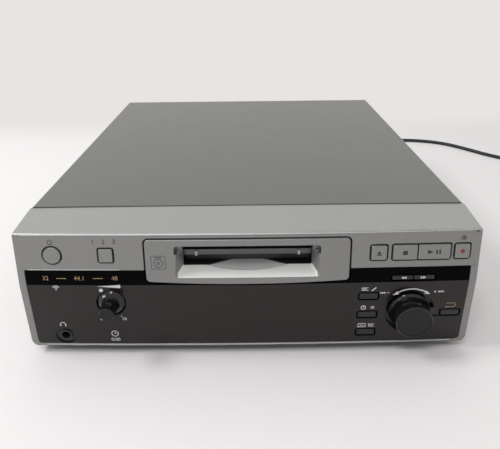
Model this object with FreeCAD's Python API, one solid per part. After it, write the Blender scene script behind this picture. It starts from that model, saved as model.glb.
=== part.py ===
import FreeCAD, Part
import math
import os
from FreeCAD import Vector as V

# A compact minidisc deck. Millimetres, +Z up, the front faces -Y.
# The origin is under the middle of the deck, on the surface that it stands on.

# Overall sizes
WIDTH = 330.0
HEIGHT = 106.0
COVER_DEPTH = 317.0
BEZEL_DEPTH = 40.0
FRONT_BOW = 2.5
BEZEL_LIFT = 6.4
FOOT_HEIGHT = 8.0
JOG_PROUD = 12.0
JACK_PROUD = 12.0

# Front section: upright below the crest, leaning back above it up to the crease
CREST_DROP = 44.0
CREASE_DROP = 4.4
CREASE_RADIUS = 2.0
LOWER_RADIUS = 0.8
LEAN = 6.3
WALL = 2.5
STRIP_DROP = 0.5
BEZEL_CORNER = 6.0

# Window in the bezel
WINDOW_HALF = 160.0
WINDOW_BOTTOM = 8.8
WINDOW_RISE = 12.0
WINDOW_CORNER = 3.0
WINDOW_SET = 0.4
SEAM = 0.2

# Slot panel, its funnel and its finger scoop
PLATE_HALF = 72.5
PLATE_DROP = 8.7
PLATE_HEIGHT = 32.3
PLATE_BOW = 2.3
PLATE_CORNER = 3.0
PLATE_GAP = 1.1
PLATE_PROUD = 0.6
OPEN_HALF = 51.8
OPEN_RISE = 3.2
OPEN_HEIGHT = 24.3
FUNNEL_TAPER = 5.5
MOUTH_RISE = 4.6
MOUTH_HEIGHT = 17.2
MOUTH_DEPTH = 10.0
FUNNEL_WALL = 2.0
WEDGE_RISE = 13.2
SCOOP_HALF = 30.0
SCOOP_DEEP = 3.2
SCOOP_RADIUS = 12.0
SCOOP_TONGUE = 9.0
TONGUE_FLOOR = 1.8
OPEN_CORNER = 2.0

# Cartridge path and entry
CARD_WIDTH = 72.0
CARD_THICK = 5.0
CARD_CLEAR = 0.8
CARD_LIFT = 0.4
ENTRY_DEPTH = 14.0
LIP_HEIGHT = 4.3
FLAP_SWING = 78.0

# Keys and buttons: centre across, centre height, cap width, cap height
KEY_GAP = 1.1
KEY_TRAVEL = 0.8
KEY_PROUD = 0.7
KEY_RIM = 0.5
POWER_X = -138.5
POWER_DROP = 20.4
POWER_RADIUS = 6.2
INPUT_X = -100.2
EJECT_X = 92.9
TRANSPORT_DROP = 20.5
STOP_X = 111.4
PLAY_X = 132.2
RECORD_X = 152.2
WIND_X = 119.2
WIND_RISE = 3.2
MODE_X = 88.0
MODE_Z = (50.0, 33.6, 17.4)
ENTER_X = 149.9
ENTER_Z = 33.8

# Knobs and jack
LEVEL_X = -100.2
LEVEL_Z = 46.4
LEVEL_RECESS = 11.0
LEVEL_PROUD = 13.3
LEVEL_CAP = 5.4
LEVEL_TURN = 150.0
JOG_X = 119.3
JOG_Z = 35.4
JOG_RECESS = 18.3
JOG_CAP = 13.3
RECESS_DEPTH = 4.0
SHAFT_RADIUS = 3.0
JACK_X = -138.3
JACK_Z = 16.5
JACK_RING = 7.4
JACK_BORE = 3.2
RUN_CLEAR = 0.05

# Boards
BOARD_THICK = 1.6
BOARD_DEPTH = 17.0
SWITCH_HEIGHT = 4.3
POST_HEIGHT = 8.0
RIBBON_X = -114.0
RIBBON_WIDTH = 30.0

# Case
SHEET = 1.0
COVER_INSET = 0.4
COVER_CORNER = 2.5
COVER_SEAM = 0.3
BRACKET_GATE = 62.0
FOOT_RADIUS = 15.0
PAD_THICK = 1.5
FOOT_INSET = 34.0
SCREW_HEAD = 3.4
SCREW_PROUD = 1.0
SCREW_RADIUS = 1.5

# Mechanism
HOLDER_DROP = 5.0
HOLDER_SHEET = 0.8
HOLDER_DEPTH = 70.0
SLIDER_TRAVEL = 10.0
CAM_PIN = 1.25
CAM_CLEAR = 0.2
DECK_DROP = 13.2
DECK_SHEET = 1.5
LIFT_WALL = 1.2
DECK_HALF = 42.0
SPINDLE_Y = 36.0
DISC_INNER = 15.0
SLED_TRAVEL = 16.5
ROD_DROP = 10.0
ROD_X = 15.0
ROD_RADIUS = 1.5
SCREW_PITCH_X = 24.0
GEAR_MODULE = 0.8
GEAR_TEETH = 15
GEAR_BACKLASH = 0.2

# Mains cord
CORD_DIAMETER = 5.0
COIL_LOOPS = 7
COIL_INNER = 17.0
COIL_GAP = 0.6
RELIEF_LENGTH = 25.0
RELIEF_X = 118.0
RELIEF_Z = 22.0
PLUG_LENGTH = 38.0
PLUG_WIDTH = 24.0
TAIL_LENGTH = 24.0

# Values that follow from the sizes above
CREST_Z = HEIGHT - CREST_DROP
WINDOW_TOP = CREST_Z + WINDOW_RISE
PLATE_TOP = HEIGHT - PLATE_DROP
PLATE_BOTTOM = PLATE_TOP - PLATE_HEIGHT
OPEN_BOTTOM = PLATE_BOTTOM + OPEN_RISE
OPEN_TOP = OPEN_BOTTOM + OPEN_HEIGHT
MOUTH_HALF = OPEN_HALF - FUNNEL_TAPER
MOUTH_BOTTOM = OPEN_BOTTOM + MOUTH_RISE
MOUTH_TOP = MOUTH_BOTTOM + MOUTH_HEIGHT
WEDGE_TOP = MOUTH_BOTTOM + WEDGE_RISE
POWER_Z = HEIGHT - POWER_DROP
TRANSPORT_Z = HEIGHT - TRANSPORT_DROP
WIND_Z = CREST_Z + WIND_RISE
BOW_RADIUS = ((WIDTH / 2) ** 2 + FRONT_BOW ** 2) / (2 * FRONT_BOW)
SLOPE = math.tan(math.radians(LEAN))
CREASE_Z = HEIGHT - CREASE_DROP
CREASE_DEPTH = (CREASE_Z - CREST_Z) * SLOPE


def bow_at(x):
    return BOW_RADIUS - math.sqrt(BOW_RADIUS ** 2 - x * x)


FRONT_REACH = JOG_PROUD - bow_at(JOG_X)
FACE_Y = FRONT_REACH - (FRONT_REACH + BEZEL_DEPTH + COVER_DEPTH + JACK_PROUD) / 2
COVER_Y = FACE_Y + BEZEL_DEPTH
REAR_Y = COVER_Y + COVER_DEPTH
BOARD_Y = FACE_Y + BOARD_DEPTH
MOUTH_Y = FACE_Y + MOUTH_DEPTH
FLOOR_Z = FOOT_HEIGHT + SHEET
CASE_HALF = WIDTH / 2 - COVER_INSET
CARD_Z = MOUTH_BOTTOM + CARD_LIFT
DECK_Z = CARD_Z - DECK_DROP
ROD_Z = DECK_Z - ROD_DROP
ENTRY_TOP = CARD_Z + CARD_THICK + CARD_CLEAR
ENTRY_END = MOUTH_Y + ENTRY_DEPTH
HOLDER_Y = ENTRY_END + 0.6
HOLDER_HALF = (CARD_WIDTH + 2 * CARD_CLEAR) / 2
SPINDLE_AT = HOLDER_Y + SPINDLE_Y
DECK_TOP = DECK_Z + DECK_SHEET
FAR = 400.0


def lean_at(z):
    return max(0.0, z - CREST_Z) * SLOPE


def face_y(x, z):
    return FACE_Y + bow_at(x) + lean_at(z)


# Outlines and plain solids

def rounded_wire(points, radius):
    """Closed outline through the points with each corner rounded by its radius."""
    count = len(points)
    radii = radius if isinstance(radius, (list, tuple)) else [radius] * count
    ends = []
    for i, corner in enumerate(points):
        r = radii[i]
        if r <= 0:
            ends.append((corner, None, corner))
            continue
        back = (points[i - 1] - corner).normalize()
        ahead = (points[(i + 1) % count] - corner).normalize()
        half = back.getAngle(ahead) / 2
        reach = r / math.tan(half)
        middle = (back + ahead).normalize()
        centre = corner + middle * (r / math.sin(half))
        ends.append((corner + back * reach, centre - middle * r, corner + ahead * reach))
    edges = []
    for i in range(count):
        start, mid, stop = ends[i]
        if mid is not None:
            edges.append(Part.Arc(start, mid, stop).toShape())
        following = ends[(i + 1) % count][0]
        if stop.distanceToPoint(following) > 1e-6:
            edges.append(Part.LineSegment(stop, following).toShape())
    return Part.Wire(edges)


def side_face(outline, radius=0.0):
    """Face in the depth-height plane from points of depth behind the front and height."""
    points = [V(0, FACE_Y + d, z) for d, z in outline]
    return Part.Face(rounded_wire(points, radius))


def bowed(outline, radius=0.0):
    """Solid of a depth-height outline carried round the bow of the front."""
    centre = V(0, FACE_Y + BOW_RADIUS, 0)
    sweep = math.degrees(math.asin((WIDTH / 2 + 4) / BOW_RADIUS))
    face = side_face(outline, radius)
    face.rotate(centre, V(0, 0, 1), -sweep)
    return face.revolve(centre, V(0, 0, 1), 2 * sweep)


def skin(front, back, low=-5.0, high=HEIGHT + 5.0):
    """Layer between two depths behind the front, following its lean and bow."""
    if low >= CREST_Z:
        outline = [(front + lean_at(low), low), (front + lean_at(high), high),
                   (back + lean_at(high), high), (back + lean_at(low), low)]
    else:
        outline = [(front, low), (front, CREST_Z), (front + lean_at(high), high),
                   (back + lean_at(high), high), (back, CREST_Z), (back, low)]
    return bowed(outline)


def box(x0, x1, y0, y1, z0, z1):
    return Part.makeBox(x1 - x0, y1 - y0, z1 - z0, V(x0, y0, z0))


def front_prism(cx, cz, width, height, corner, y0, y1):
    """Rounded rectangle seen from the front, run from y0 to y1."""
    w = width / 2
    h = height / 2
    points = [V(cx - w, y0, cz - h), V(cx + w, y0, cz - h), V(cx + w, y0, cz + h), V(cx - w, y0, cz + h)]
    return Part.Face(rounded_wire(points, corner)).extrude(V(0, y1 - y0, 0))


def rod_y(x, z, radius, y0, y1):
    return Part.makeCylinder(radius, y1 - y0, V(x, y0, z), V(0, 1, 0))


def rod_z(x, y, radius, z0, z1):
    return Part.makeCylinder(radius, z1 - z0, V(x, y, z0), V(0, 0, 1))


def rod_x(y, z, radius, x0, x1):
    return Part.makeCylinder(radius, x1 - x0, V(x0, y, z), V(1, 0, 0))


def turned_y(x, y, z, outline):
    """Solid turned about an axis along the depth. Points are radius and distance forward."""
    points = [V(x + r, y - forward, z) for r, forward in outline]
    face = Part.Face(Part.makePolygon(points + [points[0]]))
    return face.revolve(V(x, y, z), V(0, 1, 0), 360)


def along(shape, test):
    """Edges of a shape whose middle passes the test."""
    found = []
    for edge in shape.Edges:
        if test(edge.CenterOfMass):
            found.append(edge)
    return found


def joined(shapes):
    return shapes[0].multiFuse(shapes[1:]).removeSplitter()


def cut(shape, tools):
    return shape.cut(Part.makeCompound(tools))


# Front: bezel, window and slot panel

def plate_outline(grow, y0, y1):
    """Outline of the slot panel, its lower edge bowed downward, run from y0 to y1."""
    w = PLATE_HALF + grow
    top = PLATE_TOP + grow
    low = PLATE_BOTTOM - grow
    dip = low - PLATE_BOW
    r = PLATE_CORNER + grow
    bend = (w * w + PLATE_BOW ** 2) / (2 * PLATE_BOW)
    upper = front_prism(0, (top + low) / 2, 2 * w, top - low, 0, y0, y1)
    lower = rod_y(0, dip + bend, bend, y0, y1).common(box(-w, w, y0, y1, dip - 1, low + 0.01))
    whole = joined([upper, lower])
    corners = along(whole, lambda c: abs(abs(c.x) - w) < 0.01 and abs(c.y - (y0 + y1) / 2) < 0.01)
    return whole.makeFillet(r, corners)


def key_opening(cx, cz, width, height, corner):
    return front_prism(cx, cz, width + 2 * KEY_GAP, height + 2 * KEY_GAP, corner, FACE_Y - 9, FACE_Y + 15)


def upper_keys():
    """Caps of the upper row: name, centre, width, height and corner radius."""
    return {
        "input_button": (INPUT_X, TRANSPORT_Z, 9.8, 10.0, 1.0),
        "eject_button": (EJECT_X, TRANSPORT_Z, 11.0, 10.8, 1.0),
        "stop_button": (STOP_X, TRANSPORT_Z, 17.2, 11.2, 1.0),
        "play_button": (PLAY_X, TRANSPORT_Z, 22.8, 11.2, 1.0),
        "record_button": (RECORD_X, TRANSPORT_Z, 10.4, 10.8, 1.0),
    }


def lower_keys():
    """Caps of the keys in the window, given in the same way."""
    return {
        "rewind_key": (WIND_X - 7.85, WIND_Z, 15.0, 3.4, 0.6),
        "forward_key": (WIND_X + 7.85, WIND_Z, 15.0, 3.4, 0.6),
        "name_key": (MODE_X, MODE_Z[0], 13.6, 5.0, 0.8),
        "timer_key": (MODE_X, MODE_Z[1], 13.6, 5.0, 0.8),
        "display_key": (MODE_X, MODE_Z[2], 13.6, 5.0, 0.8),
        "enter_key": (ENTER_X, ENTER_Z, 13.6, 4.6, 0.8),
    }


def front_bezel():
    low = BEZEL_LIFT
    deep = BEZEL_DEPTH + 6
    strip = (CREASE_Z - (HEIGHT - STRIP_DROP)) / (CREASE_DEPTH - BEZEL_DEPTH)
    outline = [(0, low), (0, CREST_Z), (CREASE_DEPTH, CREASE_Z),
               (deep, CREASE_Z + strip * (deep - CREASE_DEPTH)), (deep, low)]
    shell = bowed(outline, [LOWER_RADIUS, 0, CREASE_RADIUS, 0, 0])
    ceiling = CREASE_Z - WALL
    turn = WALL + lean_at(ceiling)
    hollow = bowed([(WALL, low + WALL), (WALL, CREST_Z), (turn, ceiling),
                    (deep, ceiling + strip * (deep - turn)), (deep, low + WALL)])
    reach = (FACE_Y - 9, COVER_Y)
    side = [V(-WIDTH / 2, reach[0], low), V(WIDTH / 2, reach[0], low),
            V(WIDTH / 2, reach[0], HEIGHT), V(-WIDTH / 2, reach[0], HEIGHT)]
    silhouette = Part.Face(rounded_wire(side, [BEZEL_CORNER, BEZEL_CORNER, 1.0, 1.0]))
    shell = shell.common(silhouette.extrude(V(0, reach[1] - reach[0], 0)))
    inner = WIDTH / 2 - WALL
    hollow = hollow.common(box(-inner, inner, reach[0], reach[1], 0, HEIGHT))
    tools = [hollow, window_outline(0, FACE_Y - 9, FACE_Y + 12), plate_outline(PLATE_GAP, FACE_Y - 9, FACE_Y + 15)]
    tools.append(rod_y(POWER_X, POWER_Z, POWER_RADIUS + KEY_GAP, FACE_Y - 9, FACE_Y + 15))
    for name, (cx, cz, w, h, r) in upper_keys().items():
        tools.append(key_opening(cx, cz, w, h, r + KEY_GAP))
    return cut(shell, tools)


def window_outline(shrink, y0, y1):
    w = WINDOW_HALF - shrink
    low = WINDOW_BOTTOM + shrink
    top = WINDOW_TOP - shrink
    points = [V(-w, y0, low), V(w, y0, low), V(w, y0, top), V(-w, y0, top)]
    r = WINDOW_CORNER - shrink
    return Part.Face(rounded_wire(points, [r, r, 0.5, 0.5])).extrude(V(0, y1 - y0, 0))


def recess_cup(cx, cz, radius, hole):
    """Round cup behind the window that a knob sits in."""
    front = face_y(cx, cz)
    outer = rod_y(cx, cz, radius + 1.2, front + WINDOW_SET + 0.5, front + RECESS_DEPTH + 1.2)
    return outer.cut(rod_y(cx, cz, hole, front, front + RECESS_DEPTH + 3))


def enter_groove():
    """Shallow channel that joins the jog recess to the enter key."""
    x0 = JOG_X + JOG_RECESS - 1.0
    width = ENTER_X - lower_keys()["enter_key"][2] / 2 - KEY_GAP - x0
    face = face_y(JOG_X, JOG_Z)
    return box(x0, x0 + width + 0.5, face - 5, face + WINDOW_SET + 1.2, ENTER_Z - 3.3, ENTER_Z + 3.3)


def display_window():
    panel = window_outline(SEAM, FACE_Y - 9, FACE_Y + 12).common(skin(WINDOW_SET, WALL))
    keep = plate_outline(PLATE_GAP + SEAM, FACE_Y - 9, FACE_Y + 15)
    cups = [recess_cup(LEVEL_X, LEVEL_Z, LEVEL_RECESS, 5.0), recess_cup(JOG_X, JOG_Z, JOG_RECESS, 5.0)]
    posts = []
    for x, z in ((-60.0, 14.0), (60.0, 14.0), (-70.0, 52.0), (70.0, 52.0)):
        posts.append(rod_y(x, z, 2.5, FACE_Y + WALL - 0.5, BOARD_Y))
    panel = joined([panel] + cups + posts)
    tools = [keep, enter_groove()]
    for cx, cz, radius in ((LEVEL_X, LEVEL_Z, LEVEL_RECESS), (JOG_X, JOG_Z, JOG_RECESS)):
        front = face_y(cx, cz)
        tools.append(rod_y(cx, cz, radius, front - 6, front + RECESS_DEPTH))
    for name, (cx, cz, w, h, r) in lower_keys().items():
        tools.append(key_opening(cx, cz, w, h, r + KEY_GAP))
    jack = face_y(JACK_X, JACK_Z)
    tools.append(rod_y(JACK_X, JACK_Z, JACK_RING, jack - 5, jack + WINDOW_SET + 0.9))
    tools.append(rod_y(JACK_X, JACK_Z, JACK_RING - 2.6, jack - 5, jack + 8))
    return cut(panel, tools)


def scoop_cutter():
    """Lens-shaped dish: an arc turned about an axis across the slot."""
    drop = SCOOP_DEEP
    arc = (SCOOP_HALF ** 2 + drop ** 2) / (2 * drop)
    axis_y = MOUTH_Y + 0.8
    axis_z = MOUTH_BOTTOM + SCOOP_RADIUS - drop
    extra = 12.0
    wide = SCOOP_HALF + extra
    edge = SCOOP_RADIUS - (arc - math.sqrt(arc * arc - wide * wide))
    left = V(-wide, axis_y, axis_z)
    right = V(wide, axis_y, axis_z)
    low_left = V(-wide, axis_y, axis_z - edge)
    low_right = V(wide, axis_y, axis_z - edge)
    bottom = Part.Arc(low_left, V(0, axis_y, axis_z - SCOOP_RADIUS), low_right).toShape()
    sides = [Part.LineSegment(low_right, right).toShape(), Part.LineSegment(right, left).toShape(),
             Part.LineSegment(left, low_left).toShape()]
    return Part.Face(Part.Wire([bottom] + sides)).revolve(left, V(1, 0, 0), 360)


def funnel_cutter():
    """Tapered mouth of the slot, from the face of the panel to the cartridge entry."""
    front = FACE_Y + lean_at(OPEN_BOTTOM) - PLATE_PROUD
    share = 4.0 / (MOUTH_Y - front)
    wires = []
    for y, s in ((front - 4.0, -share), (MOUTH_Y, 1.0)):
        half = OPEN_HALF + (MOUTH_HALF - OPEN_HALF) * s
        low = OPEN_BOTTOM + (MOUTH_BOTTOM - OPEN_BOTTOM) * s
        points = [V(-half, y, low), V(half, y, low), V(half, y, OPEN_TOP), V(-half, y, OPEN_TOP)]
        wires.append(rounded_wire(points, OPEN_CORNER))
    taper = Part.makeLoft(wires, True, True)
    high = OPEN_TOP - WEDGE_TOP + 2 * OPEN_CORNER
    upper = front_prism(0, OPEN_TOP - high / 2, 2 * OPEN_HALF, high, OPEN_CORNER, FACE_Y - 6, MOUTH_Y - FUNNEL_WALL)
    upper = upper.common(box(-FAR, FAR, -FAR, FAR, WEDGE_TOP, OPEN_TOP))
    through = box(-MOUTH_HALF, MOUTH_HALF, MOUTH_Y - 1.5, MOUTH_Y + ENTRY_DEPTH, MOUTH_BOTTOM, MOUTH_TOP)
    return [taper, upper, through]


def tongue(reach):
    """Floor of the scoop behind the mouth, its rear edge an arc from side to side."""
    low = MOUTH_BOTTOM - SCOOP_DEEP - TONGUE_FLOOR
    front = MOUTH_Y - 1
    left = V(-SCOOP_HALF, front, low)
    right = V(SCOOP_HALF, front, low)
    rear = Part.Arc(right, V(0, MOUTH_Y + reach, low), left).toShape()
    edges = [Part.LineSegment(left, right).toShape(), rear]
    return Part.Face(Part.Wire(edges)).extrude(V(0, 0, MOUTH_BOTTOM - low))


def slot_panel():
    plate = plate_outline(0, FACE_Y - 9, FACE_Y + 15).common(skin(-PLATE_PROUD, WALL))
    rim = along(plate, lambda c: c.y < FACE_Y + lean_at(c.z) - PLATE_PROUD + 0.2)
    plate = plate.makeFillet(0.8, rim)
    wall = FUNNEL_WALL
    block = box(-OPEN_HALF - wall, OPEN_HALF + wall, FACE_Y + 1.5, MOUTH_Y, OPEN_BOTTOM - wall, OPEN_TOP + wall)
    block = block.cut(skin(-20, 1.0))
    whole = joined([plate, block, tongue(SCOOP_TONGUE)])
    whole = cut(whole, funnel_cutter())
    return whole.cut(scoop_cutter())


# Cartridge entry behind the slot panel

def entry_guide():
    half = OPEN_HALF - 0.5
    body = box(-half, half, MOUTH_Y, ENTRY_END, MOUTH_BOTTOM - 5.5, OPEN_TOP)
    throat = box(-MOUTH_HALF, MOUTH_HALF, MOUTH_Y - 1, ENTRY_END + 1, MOUTH_BOTTOM, MOUTH_TOP)
    notch = tongue(SCOOP_TONGUE + 0.1)
    hinge = rod_x(flap_axis()[0], flap_axis()[1], 0.9 + RUN_CLEAR, -half - 1, half + 1)
    return cut(body, [throat, notch, hinge])


def lip_y():
    return MOUTH_Y + 4.0


def entry_lip():
    z0 = ENTRY_TOP
    strip = box(-MOUTH_HALF, MOUTH_HALF, lip_y(), lip_y() + HOLDER_SHEET, z0, z0 + LIP_HEIGHT)
    fold = box(-MOUTH_HALF, MOUTH_HALF, lip_y(), lip_y() + 5.0, z0 + LIP_HEIGHT - HOLDER_SHEET, z0 + LIP_HEIGHT)
    ends = []
    for side in (-1, 1):
        x = side * (MOUTH_HALF - HOLDER_SHEET / 2)
        ends.append(box(x - HOLDER_SHEET / 2, x + HOLDER_SHEET / 2, lip_y(), lip_y() + 5.0, z0 + 2.2, z0 + LIP_HEIGHT))
    return joined([strip, fold] + ends)


def entry_tabs():
    tabs = []
    for side in (-1, 1):
        x = side * (HOLDER_HALF + 0.6)
        shape = front_prism(x, ENTRY_TOP + 1.6, 1.8, 3.6, 0.5, lip_y() - 1.2, lip_y())
        tabs.append(shape)
    return Part.makeCompound(tabs)


def flap_axis():
    """Depth and height of the flap's hinge."""
    return MOUTH_Y + 7.2, ENTRY_TOP + 0.8


def slot_flap():
    y, z = flap_axis()
    pin = rod_x(y, z, 0.9, -OPEN_HALF + 1.5, OPEN_HALF - 1.5)
    knuckle = rod_x(y, z, 1.2, -MOUTH_HALF + 1.3, MOUTH_HALF - 1.3)
    blade = box(-MOUTH_HALF + 0.5, MOUTH_HALF - 0.5, y - 0.6, y + 0.6, MOUTH_BOTTOM + 0.4, z)
    return joined([pin, knuckle, blade])


# Keys

def key_cap(cx, cz, width, height, corner):
    """Cap with a rounded front edge, a retaining lip and a stem down to its switch."""
    proud = KEY_PROUD if cz > CREST_Z + 10 else 0.0
    front = proud - (0 if proud else WINDOW_SET)
    blank = front_prism(cx, cz, width, height, corner, FACE_Y - 9, FACE_Y + 15)
    return finish_key(blank, cx, cz, front, width, height)


def finish_key(blank, cx, cz, front, width, height):
    back = WALL + 1.4
    cap = blank.common(skin(-front, back))
    rim = along(cap, lambda c: c.y < face_y(c.x, c.z) - front + 0.15)
    cap = cap.makeFillet(KEY_RIM, rim)
    lip = front_prism(cx, cz, width - 1.0, height + 2 * KEY_GAP + 1.2, 0.4, FACE_Y - 9, FACE_Y + 15)
    lip = lip.common(skin(WALL + 0.2, back))
    start = face_y(cx, cz) + back - 0.5
    stem = front_prism(cx, cz, 3.0, 3.0, 0.4, start, stem_end())
    return joined([cap, lip, stem])


def stem_end():
    return BOARD_Y - SWITCH_HEIGHT - KEY_TRAVEL - 0.1


def power_button():
    blank = rod_y(POWER_X, POWER_Z, POWER_RADIUS, FACE_Y - 9, FACE_Y + 15)
    return finish_key(blank, POWER_X, POWER_Z, KEY_PROUD, 9.0, 2 * POWER_RADIUS)


def key_places():
    places = [(POWER_X, POWER_Z)]
    for cx, cz, w, h, r in list(upper_keys().values()) + list(lower_keys().values()):
        places.append((cx, cz))
    return places


def key_switches():
    """One small switch on the front board behind each key."""
    group = []
    for cx, cz in key_places():
        body = front_prism(cx, cz, 6.0, 6.0, 0.3, BOARD_Y - SWITCH_HEIGHT + 0.8, BOARD_Y)
        plunger = rod_y(cx, cz, 1.7, BOARD_Y - SWITCH_HEIGHT, BOARD_Y - SWITCH_HEIGHT + 1.0)
        group.append(body.fuse(plunger))
    return Part.makeCompound(group)


# Knobs and jack

def level_knob():
    y = face_y(LEVEL_X, LEVEL_Z)
    cap = LEVEL_CAP
    outline = [(0, LEVEL_PROUD), (cap - 0.5, LEVEL_PROUD), (cap, LEVEL_PROUD - 0.5), (cap + 0.6, 3.6),
               (cap + 1.2, 1.6), (LEVEL_RECESS - 2.0, 0.2), (LEVEL_RECESS - 0.9, -1.0), (LEVEL_RECESS - 0.9, -2.2),
               (0, -2.2)]
    knob = turned_y(LEVEL_X, y, LEVEL_Z, outline)
    return knob.cut(rod_y(LEVEL_X, LEVEL_Z, SHAFT_RADIUS, y - LEVEL_PROUD + 2.5, y + 5))


def jog_dial():
    y = face_y(JOG_X, JOG_Z)
    cap = JOG_CAP
    top = JOG_PROUD
    outline = [(0, top - 0.3), (cap - 1.0, top - 0.3), (cap - 1.0, top), (cap - 0.4, top), (cap, top - 0.4),
               (cap + 0.3, 2.6), (cap + 0.7, 0.8), (cap + 1.5, -0.6), (cap + 2.0, -1.2), (cap + 2.0, -2.4), (0, -2.4)]
    knob = turned_y(JOG_X, y, JOG_Z, outline)
    return knob.cut(rod_y(JOG_X, JOG_Z, SHAFT_RADIUS, y - JOG_PROUD + 3.0, y + 5))


def knob_shaft(cx, cz, proud):
    """Steel shaft pressed in a knob and turning in its control's bush."""
    return rod_y(cx, cz, SHAFT_RADIUS, face_y(cx, cz) - proud, BOARD_Y - 2.0)


def rotary_control(cx, cz, size, body_depth):
    """Bushed control on the front board that carries a knob's shaft."""
    body = front_prism(cx, cz, size, size, 0.8, BOARD_Y - body_depth, BOARD_Y)
    bush = rod_y(cx, cz, 4.6, face_y(cx, cz) + RECESS_DEPTH + 0.2, BOARD_Y - body_depth + 1)
    bore = rod_y(cx, cz, SHAFT_RADIUS + RUN_CLEAR, FACE_Y, BOARD_Y - 1.8)
    return joined([body, bush]).cut(bore)


def phones_jack():
    front = face_y(JACK_X, JACK_Z)
    bush = rod_y(JACK_X, JACK_Z, JACK_RING - 2.7, front + 0.6, front + 5)
    body = front_prism(JACK_X, JACK_Z, 13.0, 11.5, 0.8, front + WALL + 0.6, BOARD_Y + 12)
    bore = rod_y(JACK_X, JACK_Z, JACK_BORE, front - 1, BOARD_Y + 9)
    return joined([bush, body]).cut(bore)


# Front board and display

def front_board():
    top = HEIGHT - 12.0
    low = WINDOW_BOTTOM + 2.5
    half = WINDOW_HALF - 3.0
    y0 = BOARD_Y
    y1 = BOARD_Y + BOARD_THICK
    board = front_prism(0, (top + low) / 2, 2 * half, top - low, 2.0, y0, y1)
    notch = box(-OPEN_HALF - 5, OPEN_HALF + 5, y0 - 1, y1 + 1, MOUTH_BOTTOM - 16, HEIGHT)
    jack = box(JACK_X - 7, JACK_X + 7, y0 - 1, y1 + 1, 0, JACK_Z + 6.3)
    return cut(board, [notch, jack])


def display_tube():
    y0 = BOARD_Y - 7.5
    glass = front_prism(0, 34.0, 122.0, 27.0, 1.0, y0, BOARD_Y - 1.0)
    tip = rod_x(y0 + 3.2, 40.0, 1.6, 61.0, 66.0)
    rail = box(-56.0, 56.0, BOARD_Y - 1.5, BOARD_Y, 22.0, 24.0)
    return joined([glass, tip, rail])


# Case

def top_cover():
    w = CASE_HALF
    low = FOOT_HEIGHT + 0.5
    y0 = COVER_Y + COVER_SEAM
    outer = [V(-w, y0, low), V(w, y0, low), V(w, y0, HEIGHT), V(-w, y0, HEIGHT)]
    t = SHEET
    inner = [V(-w + t, y0, low - 1), V(w - t, y0, low - 1), V(w - t, y0, HEIGHT - t), V(-w + t, y0, HEIGHT - t)]
    run = V(0, REAR_Y - y0, 0)
    shell = Part.Face(rounded_wire(outer, [0, 0, COVER_CORNER, COVER_CORNER])).extrude(run)
    r = COVER_CORNER - t
    shell = shell.cut(Part.Face(rounded_wire(inner, [0, 0, r, r])).extrude(run))
    slots = []
    for side in (-1, 1):
        for i in range(9):
            y = REAR_Y - 60.0 - i * 9.0
            slots.append(box(side * w - 3, side * w + 3, y, y + 3.0, 52.0, 84.0))
        for y in side_screws():
            slots.append(rod_x(y, side_screw_z(), SCREW_RADIUS + 0.2, side * w - 3, side * w + 3))
    return cut(shell, slots)


def side_screws():
    return COVER_Y + 55.0, REAR_Y - 45.0


def side_screw_z():
    return FLOOR_Z + 9.0


def cover_screws():
    group = []
    for side in (-1, 1):
        for y in side_screws():
            start = V(side * (CASE_HALF + SCREW_PROUD), y, side_screw_z())
            inward = V(-side, 0, 0)
            head = Part.makeCylinder(SCREW_HEAD, SCREW_PROUD, start, inward)
            shank = Part.makeCylinder(SCREW_RADIUS, 8.0, start, inward)
            head = head.makeFillet(SCREW_PROUD / 2, along(head, lambda c, s=start: abs(c.x - s.x) < 0.01))
            group.append(head.fuse(shank))
    return Part.makeCompound(group)


def chassis_base():
    half = CASE_HALF - SHEET - 0.1
    y0 = COVER_Y
    y1 = REAR_Y - SHEET - 0.1
    floor = box(-half, half, y0, y1, FOOT_HEIGHT, FLOOR_Z)
    pieces = [floor]
    for side in (-1, 1):
        x = side * (half - SHEET / 2)
        pieces.append(box(x - SHEET / 2, x + SHEET / 2, y0, y1, FOOT_HEIGHT, FLOOR_Z + 16))
    for x, y in board_posts():
        pieces.append(rod_z(x, y, 3.0, FLOOR_Z - 0.5, FLOOR_Z + POST_HEIGHT))
    tray = joined(pieces)
    vents = []
    for x in (-108.0, 108.0):
        for i in range(10):
            y = 30.0 + i * 8.0
            vents.append(box(x - 18, x + 18, y, y + 3.2, FOOT_HEIGHT - 1, FLOOR_Z + 0.3))
    for side in (-1, 1):
        for y in side_screws():
            vents.append(rod_x(y, side_screw_z(), SCREW_RADIUS, side * half - 4, side * half + 4))
    return Part.makeCompound([cut(tray, vents), front_bracket(-1), front_bracket(1)])


def front_bracket(side):
    """Sheet bracket between the tray and the bezel, with a window for the cables."""
    outer = CASE_HALF - 2 * SHEET - 0.2
    inner = BRACKET_GATE
    low = FLOOR_Z
    high = HEIGHT - 6
    middle = (low + high) / 2
    sheet = front_prism(side * (outer + inner) / 2, middle, outer - inner, high - low, 0, COVER_Y, COVER_Y + SHEET)
    window = front_prism(side * (outer + inner) / 2, middle, outer - inner - 30, high - low - 24, 6,
                         COVER_Y - 1, COVER_Y + 2)
    foot = box(min(side * inner, side * outer), max(side * inner, side * outer), COVER_Y, COVER_Y + 10,
               low, low + SHEET)
    return joined([cut(sheet, [window]), foot])


def board_posts():
    places = []
    for x0, x1, y0, y1 in (main_board_span(), power_board_span()):
        for x in (x0 + 6, x1 - 6):
            for y in (y0 + 6, y1 - 6):
                places.append((x, y))
    return places


def main_board_span():
    return -CASE_HALF + 12, -72.0, COVER_Y + 25, REAR_Y - SHEET - 14.0


def power_board_span():
    return 72.0, CASE_HALF - 12, REAR_Y - 120.0, REAR_Y - SHEET - 20.0


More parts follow.
